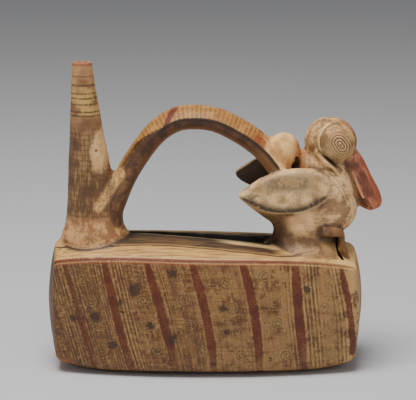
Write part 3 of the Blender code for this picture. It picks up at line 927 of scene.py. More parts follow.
def chamber(name, near, far):
    """A water chamber between two walls, given as functions of u, w and x that return y."""
    halves = (BODY_LENGTH / 2, FRONT_DEPTH / 2, BODY_HEIGHT / 2)
    shape = rounded_grid(halves, CHAMBER_CUTS)
    for vert in shape.verts:
        u, v, w = rounded(vert.co, halves, BODY_EDGE_RADIUS)
        x = u * (end_x(0.5, w) - WALL - END_DENT)
        y = mix(near(u, w, x), far(u, w, x), (v + 1.0) / 2)
        across = (2.0 * y - BACK_DEPTH + FRONT_DEPTH) / (FRONT_DEPTH + BACK_DEPTH)
        roof = top_z(u, across) - WALL - valley_drop(y, x)
        vert.co = (x, y, mix(bottom_z(u, across) + WALL, roof, (w + 1.0) / 2))
    return object_from(name, shape)


def partition_half(x, w):
    """Half the partition's thickness, which grows towards the top to go round the groove."""
    start = 1.0 - 2 * (groove_depth(x) + 2 * WALL) / BODY_HEIGHT
    return mix(PARTITION / 2, groove_half_width(x) + WALL, max(0.0, w - start) / (1.0 - start))


def chambers():
    front = chamber(
        "front_chamber",
        lambda u, w, x: front_y(u, w) + WALL,
        lambda u, w, x: groove_y(x) - partition_half(x, w),
    )
    back = chamber(
        "back_chamber",
        lambda u, w, x: groove_y(x) + partition_half(x, w),
        lambda u, w, x: back_y(u, w) - WALL,
    )
    return [front, back]


slits = [chin_slit(), toe_slit()]
rooms = [spout_bore(), passage()] + whistle_rooms() + bird_rooms() + chambers()
cut_out(vessel, slits + rooms)
print("hollow vessel:", len(vessel.data.polygons), "faces")

# %% [markdown]
# ## Where the painter's lines run
#
# The painter followed the vessel's own edges and parts. So each point of the skin is given numbers
# that say where it is: how far inside a part, how far from an edge, a stripe or a spiral's centre,
# in millimetres. The material below reads these numbers and draws crisp lines with them, because a
# line is finer than the skin's faces. The hidden back stays plainer.


# %% Places of the painted lines, in millimetres
STRIPE_HEIGHTS = (10.0, 58.0, 80.0)
STRIPES = ((-110.0, -122.0, -128.0), (-79.0, -92.5, -98.7), (-54.3, -65.8, -70.2), (-21.6, -33.5, -40.1))
STRIPES += ((5.2, -2.6, -8.8), (37.6, 32.0, 26.4), (68.8, 63.7, 62.5), (104.5, 99.2, 94.0))
STRIPES += ((136.0, 130.0, 124.0),)
STRIPE_GAP = 32.0
PINSTRIPES = ((1, -14.0, -3.5, 0.7), (1, 3.5, 8.0, 0.6), (2, -11.0, -3.0, 0.7), (2, 3.0, 13.0, 1.0))
PINSTRIPES += ((3, 3.0, 9.0, 0.7), (4, 3.0, 8.0, 0.4), (6, -9.0, -3.0, 0.6), (6, 3.2, 14.5, 1.0))
PINSTRIPES += ((7, -10.0, -3.0, 1.0),)
SPIRALS = ((-85.9, 69.4), (-80.4, 54.8), (-76.4, 37.5), (-73.2, 19.7), (-48.0, 73.7), (-43.9, 56.9))
SPIRALS += ((-40.5, 39.0), (-34.3, 21.3), (-19.4, 75.3), (-15.3, 58.2), (-11.8, 39.5), (-3.5, 20.2))
SPIRALS += ((13.9, 70.5), (17.8, 52.4), (21.6, 34.2), (25.2, 17.7), (40.3, 74.6), (47.4, 55.7))
SPIRALS += ((50.3, 41.2), (56.2, 16.8), (86.7, 68.2), (84.0, 50.6), (86.4, 34.0), (86.7, 18.2))
BLOTCHES = ((-50.8, 64.5, 5.0), (-60.0, 55.7, 3.0), (-23.1, 29.0, 5.5), (-26.0, 11.2, 2.4))
BLOTCHES += ((-78.0, 44.0, 3.6), (-38.6, 39.0, 3.0), (5.3, 11.0, 2.2), (12.0, 52.5, 3.2))
BLOTCHES += ((14.0, 35.0, 3.0), (70.8, 63.7, 2.6), (-22.0, 77.0, 4.0), (-66.0, 23.0, 3.2))
BLOTCHES += ((-92.0, 42.0, 3.0), (34.0, 66.0, 1.6))
THIN_LINE = ((-108.0, -12.0), (-104.0, -18.4), (-91.0, -23.5), (-72.0, -26.0), (-34.0, -26.6), (0.0, -30.4))
THIN_LINE += ((34.0, -34.7), (50.0, -35.8), (80.0, -31.0), (98.0, -21.6), (108.0, -10.0))
ROOT_LINE = [Vector((x, 0.0, z)) for x, z in ((-0.0600, 0.1415), (-0.0680, 0.1290), (-0.0755, 0.1180))]


# %% Numbers for the block
def block_numbers(x, y, z, normals):
    """Fields of the block from its places in millimetres."""
    share = np.clip(2 * x / (1000 * BODY_LENGTH), -1.0, 1.0)
    edge_y = 1000 * (-FRONT_DEPTH + FRONT_BOW * share**2 + FACE_BULGE)
    edge_z = 1000 * (BODY_HEIGHT - TOP_TILT * (share + 1.0) / 2 - END_DROP * share**END_EASE - TOP_CROWN)
    columns = [np.polyval(np.polyfit(STRIPE_HEIGHTS, stripe, 2), z) for stripe in STRIPES]
    number = np.zeros_like(x)
    for left, right in zip(columns, columns[1:]):
        number += np.clip((x - left) / (right - left), 0.0, 1.0)
    lines = np.zeros_like(x)
    for stripe, near, far, strength in PINSTRIPES:
        offset = STRIPE_GAP * (number - stripe)
        lines = np.maximum(lines, strength * np.clip(np.minimum(offset - near, far - offset) + 0.5, 0.0, 1.0))
    from_spiral = np.array([np.hypot(x - place[0], z - place[1]) for place in SPIRALS])
    nearest = np.array(SPIRALS)[from_spiral.argmin(axis=0)]
    blotch = [1.5 - np.hypot(x - place[0], z - place[1]) / place[2] for place in BLOTCHES]
    middle = np.array([1000 * groove_y(value / 1000) for value in x])
    half = np.array([1000 * groove_half_width(value / 1000) for value in x])
    return {
        "front_share": np.clip((-normals[:, 1] - 0.05) / 0.25, 0.0, 1.0),
        "top_share": np.clip((normals[:, 2] - 0.30) / 0.25, 0.0, 1.0),
        "front_edge": y - edge_y + z - edge_z,
        "stripe_number": number,
        "pinstripes": lines,
        "spiral_x": x - nearest[:, 0],
        "spiral_z": z - nearest[:, 1],
        "spiral_near": from_spiral.min(axis=0),
        "blotch": np.clip(np.max(blotch, axis=0), 0.0, 1.5),
        "thin_line": y - np.interp(x, *zip(*THIN_LINE)),
        "groove_in": GROOVE_MOUTH_SHARE * half - np.abs(y - middle),
        "groove_offset": y - middle,
    }


# %% Numbers for the handle, the wings and the beak
def along_path(places, path):
    """Millimetres along a path in the XZ plane, and away from it to its left, for each place."""
    line = np.array([[point.x, point.z] for point in path])
    lengths = np.hypot(*np.diff(line, axis=0).T)
    runs = np.concatenate([[0.0], np.cumsum(lengths)])
    best = np.full(len(places), 1e9)
    along, aside = np.zeros(len(places)), np.zeros(len(places))
    for start, end, length, run in zip(line, line[1:], lengths, runs):
        direction = (end - start) / length
        offset = places[:, [0, 2]] - start
        share = np.clip(offset @ direction, 0.0, length)
        away = np.hypot(*(offset - share[:, None] * direction).T)
        left = offset @ np.array([-direction[1], direction[0]])
        closer = away < best
        best = np.where(closer, away, best)
        along = np.where(closer, run + share, along)
        aside = np.where(closer, left, aside)
    return 1000 * along, 1000 * aside


def part_numbers(places, table):
    """Fields that say how far inside each part a point is, and where on it."""
    numbers = {}
    for name in NAMES:
        others = [other for other in NAMES if other != name]
        numbers[name + "_in"] = np.clip(column(table, *others) - column(table, name), -8.0, 8.0)
    numbers["wings_in"] = np.maximum(numbers["near_wing_in"], numbers["far_wing_in"])
    numbers["inside"] = np.clip((table.min(axis=1) - 1.2) / 0.8, 0.0, 1.0)
    numbers["handle_run"], numbers["handle_out"] = along_path(places, HANDLE_POINTS)
    beak_path = [bird(x, 0.0, z) for x, z, radius in BEAK_STATIONS]
    numbers["beak_run"], numbers["beak_side"] = along_path(places, beak_path)
    outline = [bird(point.x, 0.0, point.z) for point in wing_outline()]
    lift = np.where(places[:, 1] > BIRD_Y, 1.0, 0.0)[:, None] * BIRD_HEIGHT * np.array([[0.02, 0.0, -0.09]])
    rim = along_path(places + lift, outline + outline[:1])
    lower = 1000 * bird(0.0, 0.0, WING_MIDDLE.z).z
    numbers["wing_rim"] = -rim[1]
    numbers["wing_low"] = np.clip((lower - 1000 * (places + lift)[:, 2]) / 6.0, 0.0, 1.0)
    numbers["eye_distance"] = eye_distance(places)
    numbers["groove_distance"] = line_distance(places, GROOVE_LINE)
    numbers["panel_distance"] = line_distance(places, PANEL_LINE)
    numbers["ridge_distance"] = ridge_distance(places)
    numbers["root_distance"] = line_distance(places, ROOT_LINE)
    numbers["chin_distance"] = line_distance(places, [bird(x, 0.0, z) for x, z in CHIN_LINE])
    return numbers


# %% Where the skin dips, and all numbers stored
def hollow_share(mesh):
    """Where the skin dips or stands out, from how its points lie to the middle of their neighbours."""
    pairs, places, normals = edges_of(mesh), places_of(mesh), normals_of(mesh)
    smooth = places
    for turn in range(6):
        smooth = middle_of_neighbours(smooth, pairs)
    dips = np.einsum("ij,ij->i", smooth - places, normals) * 1000
    return np.clip(middle_of_neighbours(dips[:, None], pairs)[:, 0] / 0.35, -1.0, 1.0)


def store(mesh, numbers):
    for name, values in numbers.items():
        field = mesh.attributes.new(name, "FLOAT", "POINT")
        field.data.foreach_set("value", np.ascontiguousarray(values, np.float32))


places, normals = places_of(vessel.data), normals_of(vessel.data)
numbers = part_numbers(places, measure(places)[0])
numbers.update(block_numbers(*(1000 * places).T, normals))
numbers["dip"] = hollow_share(vessel.data)
store(vessel.data, numbers)
for name, values in numbers.items():
    print("field", name, "from", round(float(values.min()), 1), "to", round(float(values.max()), 1))

# %% [markdown]
# ## The slips and the burnish
#
# The vessel was covered with a cream slip, painted with red, brown and dark slips and rubbed to a
# soft sheen. Wear and old stains mottle it all over. The material does its maths through a small
# class, so that a line of paint reads as a line of Python.


# %% A socket that can be used in sums
class Wire:
    """A number, colour or place that flows between shader nodes."""

    tree = None

    def __init__(self, socket):
        self.socket = socket

    @classmethod
    def node(cls, kind, settings=None, inputs=None, out=0):
        """A node of a kind: first its settings, then a value or a wire for each input."""
        made = cls.tree.nodes.new(kind)
        for name, value in (settings or {}).items():
            setattr(made, name, value)
        for name, value in (inputs or {}).items():
            if isinstance(value, Wire):
                cls.tree.links.new(value.socket, made.inputs[name])
            else:
                made.inputs[name].default_value = value
        return cls(made.outputs[out])

    def maths(self, operation, *others):
        return Wire.node("ShaderNodeMath", {"operation": operation}, dict(enumerate((self, *others))))

    def __add__(self, other):
        return self.maths("ADD", other)

    def __mul__(self, other):
        return self.maths("MULTIPLY", other)

    def __sub__(self, other):
        return self.maths("SUBTRACT", other)

    def __truediv__(self, other):
        return self.maths("DIVIDE", other)

    def __rsub__(self, other):
        return Wire.node("ShaderNodeMath", {"operation": "SUBTRACT"}, {0: other, 1: self})

    __radd__, __rmul__ = __add__, __mul__

    def __abs__(self):
        return self.maths("ABSOLUTE")


# %% Soft steps, painted lines and stored numbers
LINE_BLUR = 0.35


def soft(value, low, high):
    """0 below low, 1 above high, and a smooth step between. With low above high it falls."""
    edges = {"Value": value, "From Min": min(low, high), "From Max": max(low, high)}
    step = Wire.node("ShaderNodeMapRange", {"interpolation_type": "SMOOTHSTEP"}, edges)
    return step if low < high else 1.0 - step


def line(distance, width, blur=LINE_BLUR):
    """A painted line of a width in millimetres round where the distance is 0."""
    return soft(abs(distance), width / 2 + blur, width / 2 - blur)


def field(name):
    """A number that the skin's points carry."""
    return Wire.node("ShaderNodeAttribute", {"attribute_name": name}, out="Fac")


def ripple(value, length):
    """A wave from -1 to 1 over a value, with a length of one ripple."""
    return (value * (math.tau / length)).maths("SINE")


# %% Slips, and one laid over another
PALER, DEEPER, PALEST = 2.1, 1.3, 0.90
SCREEN_POWER, SCREEN_OFFSET = 2.4, 0.055


def slip(red, green, blue):
    """A paint that looks like the usual 0 to 255 values once it stands in this scene's soft light."""
    power, offset = SCREEN_POWER * DEEPER, SCREEN_OFFSET
    shades = [((value / 255 + offset) / (1 + offset)) ** power for value in (red, green, blue)]
    level = min(PALER, PALEST / max(shades))
    return tuple([level * shade for shade in shades] + [1.0])


def over(under, paint, share):
    """Paint laid over another, with a share from 0 to 1."""
    return Wire.node("ShaderNodeMix", {"data_type": "RGBA"}, {0: share, 6: under, 7: paint}, out=2)


def stained(one, other, share):
    """Two slips that run into each other, each as red, green and blue."""
    return over(slip(*one), slip(*other), share)


def layered(under, *coats):
    """Coats laid one after another, each as red, green, blue and its share."""
    for red, green, blue, share in coats:
        under = over(under, slip(red, green, blue), share)
    return under


# %% The patterns of noise that the paints share
class Patterns:
    """Noise over the skin, measured in millimetres of Object coordinates."""

    def __init__(self):
        coordinates = Wire.node("ShaderNodeTexCoord", out="Object")
        scaled = {0: coordinates, "Scale": 1000.0}
        self.place = Wire.node("ShaderNodeVectorMath", {"operation": "SCALE"}, scaled)
        self.x, self.y, self.z = [
            Wire.node("ShaderNodeSeparateXYZ", None, {0: self.place}, out=axis) for axis in "XYZ"
        ]
        self.aside = self.y - 1000 * BIRD_Y
        self.broad = self.noise((0.03, 0.03, 0.03), 3.0)
        self.middling = self.noise((0.11, 0.11, 0.11), 4.0)
        self.fine = self.noise((0.55, 0.55, 0.55), 3.0)
        self.streaks = self.noise((0.05, 0.55, 0.75), 4.0)
        self.upright = self.noise((0.75, 0.75, 0.07), 3.0)
        self.specks = self.noise((1.1, 1.1, 1.1), 1.0)

    def noise(self, scale, detail, place=None):
        inputs = {0: place or self.place, 1: scale}
        stretched = Wire.node("ShaderNodeVectorMath", {"operation": "MULTIPLY"}, inputs)
        settings = {"Vector": stretched, "Scale": 1.0, "Detail": detail}
        return Wire.node("ShaderNodeTexNoise", None, settings)

    def noise_along(self, run, across, scale, detail):
        """Noise stretched along a painted line instead of along the axes."""
        place = Wire.node("ShaderNodeCombineXYZ", None, {"X": run, "Y": across})
        return self.noise((*scale, 1.0), detail, place)

    def wobble(self, middling, fine=0.0):
        """Wandering to both sides of 0, in shares of two noises, that roughens an edge or a line."""
        wander = middling * (self.middling - 0.5)
        return wander + fine * (self.fine - 0.5) if fine else wander

    def mottled(self, fine):
        """The middling noise, broken up by a share of the fine one."""
        return self.middling + fine * (self.fine - 0.5)

    def wavering(self, wander):
        """Wandering of broad noise to both sides of 0."""
        return wander * (self.broad - 0.5)


# %% [markdown]
# ## The front's paint
#
# The front is the show side: slanting red stripes with fine lines beside them, small spirals between
# them, and the wear of ages over all. The stripes lean more at the left end than at the right, so
# they are drawn over the stored stripe number, in which each stripe stands upright at a whole number.

# %% The painted front's worn ground
def front_ground(grain):
    """The worn slip between the stripes, brushed on along them and wiped across."""
    across = field("stripe_number") * STRIPE_GAP
    brushed = grain.noise_along(across, grain.z, (0.50, 0.035), 5.0)
    ground = stained((86, 58, 35), (116, 87, 53), soft(brushed + grain.wobble(0.5, 0.3), 0.32, 0.68))
    lighter = soft(grain.x + grain.wavering(90.0), -60.0, 95.0) * soft(grain.middling, 0.34, 0.60)
    wiped = soft(grain.streaks + grain.wavering(0.5), 0.50, 0.64)
    end = soft(grain.x, 94.0, 103.0) * soft(grain.mottled(0.3), 0.36, 0.50)
    return layered(
        ground,
        (144, 117, 78, 0.60 * lighter),
        (142, 114, 74, 0.36 * wiped),
        (164, 136, 94, 0.75 * end),
        (58, 40, 24, 0.30 * soft(grain.x, -50.0, -96.0)),
        (112, 66, 36, 0.45 * soft(grain.streaks + grain.wobble(0.5), 0.45, 0.32)),
        (66, 46, 28, 0.45 * soft(grain.fine + grain.wobble(0.5), 0.40, 0.30)),
        (156, 128, 86, 0.40 * soft(grain.fine + 0.5 * (brushed - 0.5), 0.54, 0.68)),
    )


# %% Fine lines and spirals
PINSTRIPE_GAP = 2.5
SPIRAL_GAP, SPIRAL_RADIUS = 1.9, 5.0


def fine_lines(grain, ground):
    """The thin dark and pale lines that run beside the red stripes."""
    wave = field("stripe_number") * (math.tau * STRIPE_GAP / PINSTRIPE_GAP) + 5.0 * grain.broad
    wave = wave.maths("SINE")
    shown = field("pinstripes") * soft(grain.upright, 0.36, 0.58)
    return layered(
        ground,
        (74, 52, 30, 0.70 * shown * soft(wave, 0.2, 0.8)),
        (160, 134, 90, 0.55 * shown * soft(wave, -0.4, -0.9)),
    )


def spirals(grain, ground):
    """Small coils of dark slip, some of them nearly worn away."""
    radius = field("spiral_near") + grain.wobble(2.4, 2.0)
    turn = field("spiral_z").maths("ARCTAN2", field("spiral_x")) / math.tau
    coil = abs((radius / SPIRAL_GAP - turn).maths("FRACT") - 0.5) * SPIRAL_GAP
    inside = soft(radius, SPIRAL_RADIUS, SPIRAL_RADIUS - 0.7)
    kept = 0.5 * (grain.broad + grain.middling) + 0.8 * (grain.fine - 0.5)
    shown = soft(kept, 0.36, 0.58) * (1.0 - 0.5 * soft(grain.x, 72.0, 80.0))
    return layered(
        ground,
        (146, 122, 78, 0.35 * inside * soft(coil, 0.45, 0.85)),
        (58, 50, 34, 0.66 * inside * shown * soft(coil, 0.52, 0.18)),
    )


# %% The red stripes, the scratches and the stains
SCRATCHES = ((65.9, -66.0, 62.0), (51.4, 18.0, 60.0), (43.5, -80.0, -14.0), (73.0, -20.0, 24.0))
SCRATCH_FADE = 8.0


def front_paint(grain):
    """Everything on the front: each scratch has its height, its left end and its right end."""
    ground = spirals(grain, fine_lines(grain, front_ground(grain)))
    for height, left, right in SCRATCHES:
        scratch = line(grain.z - height + grain.wavering(2.4), 0.45, 0.3)
        scratch = scratch * soft(grain.x, left, left + SCRATCH_FADE)
        scratch = scratch * soft(grain.x, right, right - SCRATCH_FADE)
        ground = over(ground, slip(90, 50, 28), 0.55 * scratch)
    fraction = (field("stripe_number") + 0.5).maths("FRACT")
    offset = abs(fraction - 0.5) * STRIPE_GAP + grain.wobble(1.2, 1.5)
    half = 2.2 + 0.9 * soft(grain.z, 84.0, 66.0) * soft(grain.z, 8.0, 28.0)
    half = half - 1.0 * soft(abs(grain.x), 84.0, 92.0)
    strength = soft(field("front_edge"), -1.8, -3.4) * soft(grain.x + 12.0 * grain.middling, -104.0, -88.0)
    strength = strength * (1.0 - 0.45 * soft(grain.z + grain.wavering(24.0), 26.0, 12.0))
    strength = strength * (1.0 - 0.35 * soft(grain.x, -72.0, -82.0))
    flank = soft(abs(offset - half - 0.9), 0.6, 0.2) * soft(grain.upright, 0.44, 0.58)
    ground = over(ground, slip(152, 124, 80), 0.42 * flank * strength)
    red = stained((84, 40, 16), (98, 50, 22), soft(grain.mottled(0.4), 0.34, 0.64))
    worn = 1.0 - 0.45 * soft(grain.specks + grain.wobble(0.5), 0.60, 0.72)
    painted = over(ground, red, 0.96 * soft(offset - half, 0.3, -0.3) * strength * worn)
    stain = field("blotch") + grain.wobble(3.0, 2.4)
    return over(painted, slip(58, 39, 28), 0.86 * soft(stain, 0.50, 0.92))


# %% The painted top and the groove
def top_band(grain):
    """The pale streaked band along the front edge."""
    band = stained((138, 106, 62), (172, 140, 88), soft(grain.streaks, 0.34, 0.60))
    hatch = ripple(grain.x + 0.6 * grain.y + 2.0 * grain.middling, 1.9)
    hatched = soft(hatch, 0.3, 0.9) * soft(grain.middling, 0.44, 0.56) * soft(grain.x, 84.0, 76.0)
    return over(band, slip(92, 64, 34), 0.45 * hatched)


def top_slope(grain):
    """The slope past the thin line: painted shade, a painted wing shadow and a painted lip highlight."""
    gap = field("groove_in")
    near_bird = soft(grain.x, 4.0, 24.0) * soft(grain.x, 58.0, 50.0)
    return layered(
        # dark olive slip, kept darker than the band as painted shade of the handle
        stained((100, 78, 48), (66, 50, 29), soft(grain.streaks, 0.40, 0.60)),
        # painted shade, deepening towards the groove
        (49, 34, 19, 0.80 * soft(gap, -11.0, -3.0)),
        # a painted shadow of the bird's wing
        (62, 42, 24, 0.80 * line(gap + 12.5, 4.0, 1.5) * near_bird),
        (170, 140, 94, 0.80 * soft(grain.x, -90.0, -97.0)),
        # a painted highlight along the groove's front lip
        (184, 158, 114, 0.90 * line(gap + 5.0, 7.0, 1.5) * near_bird),
    )


def thin_line(grain):
    return field("thin_line") + grain.wobble(1.4)


def front_edge(grain):
    return field("front_edge") + grain.wobble(0.9)


def top_paint(grain, ground):
    """The band, the slope and the top behind the groove, and the groove, painted near black as shade."""
    past_line = soft(thin_line(grain), 1.0, 2.4) * soft(grain.x, 60.0, 44.0)
    top = over(top_band(grain), top_slope(grain), past_line)
    behind = stained((132, 104, 64), (176, 148, 100), soft(grain.streaks, 0.42, 0.60))
    top = over(top, behind, soft(field("groove_offset"), 0.0, 1.0))
    top = over(top, slip(190, 160, 116), 0.6 * soft(grain.x, 84.0, 95.0))
    painted = over(ground, top, field("top_share") * soft(front_edge(grain), -0.5, 0.5))
    # The groove and a margin behind it are painted near black: painted shade.
    far_side = soft(field("groove_offset"), 0.0, 2.0) * soft(grain.x, -60.0, 20.0)
    inside = soft(field("groove_in") + 3.6 * far_side, -0.3, 0.9) * soft(grain.z, 62.0, 66.0)
    ends = soft(grain.x, -74.0, -66.0) * soft(grain.x, 99.0, 95.0)
    return over(painted, slip(14, 8, 4), inside * ends)


def edge_lines(grain, ground):
    """The strong red line on the front edge, between its pale and thin red companions."""
    edge = front_edge(grain)
    front = soft(field("front_share") + field("top_share"), 0.4, 0.9) * soft(grain.y, 0.0, -8.0)
    strong = (0.62 + 0.34 * soft(grain.x, 76.0, 52.0)) * soft(grain.fine + grain.wobble(0.3), 0.26, 0.40)
    return layered(
        ground,
        (170, 136, 90, 0.48 * line(edge + 2.6, 1.1) * front),
        (186, 152, 104, 0.40 * line(edge - 2.6, 0.8) * front),
        (134, 72, 46, 0.70 * line(edge + 3.7, 0.8) * front * soft(grain.x, 70.0, 40.0)),
        (104, 46, 10, strong * line(edge - 0.1, 2.7, 0.4) * front * soft(grain.x, 107.0, 100.0)),
    )


# %% [markdown]
# ## The paint of the spout and the handle
#
# Rings circle the spout near its rim, and bars and red marks cross the handle's outer face. A ring
# is a line at a height. The bars follow the strap, so they are drawn over the stored distance along
# it, and its dark side begins where the stored distance out from its middle falls below the ridge.

# %% The spout and its rings
RING_HEIGHTS = (202.9, 197.3, 193.9, 189.7, 184.5, 181.7)
FAINT_RING = 209.1
PATCH_MIDDLE, PATCH_HALF = (-74.5, 158.0), (6.0, 14.0)
PIT = (-77.0, 157.6)


def spout_clay(grain):
    """The pale upper part, the stained lower part and the foot."""
    upper = stained((121, 90, 60), (158, 130, 84), soft(grain.middling, 0.38, 0.58))
    upper = over(upper, slip(106, 86, 53), 0.5 * soft(grain.fine, 0.55, 0.66))
    rings = ripple(grain.z + 2.0 * grain.middling, 3.6)
    lower = layered(
        stained((86, 63, 41), (112, 86, 56), soft(grain.middling + 0.4 * (grain.upright - 0.5), 0.34, 0.66)),
        (120, 80, 54, 0.5 * soft(grain.broad, 0.48, 0.60)),
        (146, 118, 82, 0.50 * soft(grain.upright + grain.wobble(0.7), 0.52, 0.66)),
        (62, 44, 29, 0.38 * soft(rings, 0.3, 0.9) * soft(grain.middling, 0.42, 0.56)),
    )
    return over(lower, upper, soft(grain.z + 10.0 * grain.middling, 180.0, 188.0))


def spout_paint(grain):
    """The worn pale patch and its pit, partly painted light on the right side, the foot, the red rim and the
    rings.
    """
    wide = abs((grain.x - PATCH_MIDDLE[0]) / PATCH_HALF[0])
    tall = abs((grain.z - PATCH_MIDDLE[1]) / PATCH_HALF[1])
    patch = wide * wide + tall * tall + grain.wobble(5.0, 2.4)
    rubbed_and_lit = stained((170, 140, 98), (222, 192, 150), soft(grain.mottled(0.4), 0.36, 0.60))
    pit = abs(grain.x - PIT[0]) + abs(grain.z - PIT[1])
    foot = stained((126, 92, 60), (166, 133, 93), soft(grain.mottled(0.4), 0.38, 0.60))
    paint = layered(
        spout_clay(grain),
        (122, 90, 65, 0.55 * line(grain.z + 6.0 * grain.middling - 180.0, 10.0, 2.0)),
        (150, 116, 86, 0.55 * soft(grain.z + 4.0 * grain.middling, 207.0, 211.0)),
    )
    # the pale patch is worn slip and also painted light on the spout's lit right side
    paint = over(paint, rubbed_and_lit, 0.90 * soft(patch, 1.9, 0.1))
    paint = over(paint, slip(50, 35, 22), 0.8 * soft(pit, 1.6, 0.9))
    paint = over(paint, foot, soft(grain.z + 10.0 * grain.middling, 118.0, 110.0))
    paint = layered(
        paint,
        (115, 59, 36, 0.7 * soft(grain.z + 3.0 * grain.middling, 217.0, 219.5)),
        (101, 49, 29, 0.6 * soft(grain.x, -96.0, -99.5) * soft(grain.z, 150.0, 175.0)),
    )
    height = grain.z + grain.wavering(1.6) + grain.wobble(0.8)
    worn = soft(grain.fine, 0.30, 0.48)
    for ring in RING_HEIGHTS:
        paint = over(paint, slip(60, 52, 36), 0.82 * line(height - ring, 1.15, 0.4) * worn)
    return over(paint, slip(83, 65, 41), 0.6 * line(height - FAINT_RING, 1.0))


# %% The handle
RED_MARKS = ((146.0, 5.0), (176.0, 7.0), (181.0, 4.0))
SLANT_START, SLANT = 108.3, 1.165
CRACK_MIDDLE = 152.0


def handle_face(grain):
    """The outer face, with faint bars across it and a few red marks."""
    run = field("handle_run")
    chevrons = 1.4 * abs(grain.y + 3.0) * soft(run, 95.0, 60.0)
    wave = (run * (math.tau / 2.9) + chevrons + 1.6 * grain.middling).maths("SINE")
    barred = soft(wave, -0.4, 0.8) * soft(grain.fine, 0.34, 0.50)
    face = layered(
        stained((142, 106, 57), (100, 68, 33), 0.70 * barred),
        (160, 124, 72, 0.5 * soft(grain.middling, 0.50, 0.62)),
        (172, 140, 92, soft(run, 46.0, 26.0)),
    )
    end = stained((156, 124, 82), (186, 154, 108), soft(grain.middling, 0.38, 0.58))
    face = over(face, end, soft(run, 176.0, 184.0))
    slanting = run - SLANT_START - SLANT * field("handle_out")
    face = over(face, slip(92, 34, 18), 0.92 * line(slanting, 5.2, 0.7))
    for place, width in RED_MARKS:
        mark = line(run - place, width, 2.0) * soft(grain.mottled(0.5), 0.46, 0.54)
        face = over(face, slip(118, 54, 28), 0.80 * mark)
    return face


def handle_side(grain):
    """The side, painted dark brown, partly as shade under the ridge, warmer where the strap turns under."""
    run, out = field("handle_run"), field("handle_out")
    stain = soft(grain.mottled(0.5), 0.36, 0.64)
    leg = soft(run, 88.0, 64.0)
    # the side's dark brown is partly slip and partly painted shade under the ridge
    side = stained((66, 42, 22), (98, 68, 38), stain)
    side = over(side, stained((88, 62, 41), (122, 92, 62), stain), 0.90 * leg)
    crack = line(out + 0.42 * (run - CRACK_MIDDLE) + grain.wobble(1.5), 0.5, 0.3)
    crack = crack * soft(abs(run - CRACK_MIDDLE), 8.0, 6.5)
    return layered(
        side,
        (116, 80, 44, 0.70 * soft(out, -3.6, -6.6) * soft(run, 60.0, 90.0)),
        (88, 54, 28, 0.70 * soft(out, -4.8, -7.0) * leg),
        (118, 90, 56, 0.7 * soft(run, 168.0, 190.0) * soft(out, 1.0, -3.0)),
        # a painted shadow just under the ridge
        (46, 36, 26, 0.80 * line(out - 0.4, 2.6, 0.8) * soft(run, 96.0, 108.0)),
        (60, 44, 30, 0.70 * line(out - 2.6, 2.6, 0.9) * leg * soft(run, 26.0, 40.0)),
        (29, 17, 8, 0.85 * crack),
    )


def handle_paint(grain):
    run, out = field("handle_run"), field("handle_out")
    ridge = 1.4 + 5.0 * soft(run, 30.0, 48.0) * soft(run, 108.0, 84.0)
    on_face = soft(out - ridge + 1.0 * (grain.fine - 0.5), -0.4, 0.5)
    return over(handle_side(grain), handle_face(grain), on_face)


# %% [markdown]
# ## The bird's paint
#
# The pelican is cream with stained feathers and a red beak that was polished more than the rest.
# Its paints are laid over the body one after another, each only as far inside its own part as the
# stored numbers say, so that the beak's red ends in a clean edge at the cheek.

# %% The bird's body, its neck and its foot
def bird_body(grain):
    """The mottled cream slip, with painted light low under the tail and painted shade on the pedestal."""
    mottle = soft(grain.middling + 0.4 * (grain.streaks - 0.5), 0.36, 0.60)
    belly = soft(grain.z + 0.35 * grain.x, 155.0, 140.0) * soft(grain.x, 84.0, 62.0)
    body = layered(
        stained((136, 108, 77), (186, 157, 120), mottle),
        (106, 86, 60, 0.45 * soft(grain.fine, 0.54, 0.66)),
        # painted light low on the body, where the wing's shade falls
        (188, 154, 112, 0.70 * belly),
    )
    foot = stained((101, 75, 48), (141, 114, 78), soft(grain.mottled(0.4), 0.38, 0.60))
    body = over(body, foot, soft(grain.z + 10.0 * grain.middling, 112.0, 102.0))
    # painted shade on the pedestal's left side
    return over(body, slip(70, 48, 30), 0.85 * soft(grain.x, 60.0, 53.0) * soft(grain.z, 118.0, 110.0))


def neck_strokes(grain, ridge, beside):
    """Brush strokes that follow the neck's ridge down its side."""
    stroke = (ridge * (math.tau / 2.6) + 6.0 * grain.middling).maths("SINE")
    stroke = soft(stroke, 0.3, 0.9) * soft(ridge, 2.4, 3.4) * soft(ridge, 10.0, 7.0)
    return stroke * soft(grain.z, 116.0, 124.0) * soft(grain.z, 150.0, 142.0) * beside


def bird_paint(grain):
    ridge = field("ridge_distance")
    beside = soft(abs(grain.aside), 5.0, 8.0)
    # A pale line down the neck's ridge: a painted highlight on a worn edge.
    rubbed_and_lit = soft(ridge + 1.6 * (grain.fine - 0.5), 2.4, 0.9) * beside * soft(grain.z, 116.0, 134.0)
    fold = soft(field("beak_side"), -5.6, -4.4) * soft(field("beak_run"), 4.0, 10.0)
    body = layered(
        bird_body(grain),
        (206, 174, 132, 0.85 * rubbed_and_lit),
        (104, 78, 50, 0.50 * neck_strokes(grain, ridge, beside)),
        (88, 56, 34, 0.80 * fold),
        # painted shade along the slit under the cheek
        (60, 42, 26, 0.70 * soft(field("chin_distance"), 2.0, 1.0) * beside),
    )
    toe = stained((92, 64, 38), (120, 88, 56), soft(grain.middling, 0.38, 0.58))
    return over(body, toe, 0.9 * soft(field("toes_in"), -0.4, 0.4))


# %% The head, with its eye's rings and the arcs round them
EYE_EDGE, ARC_START, ARC_END = 9.6, 12.6, 15.2


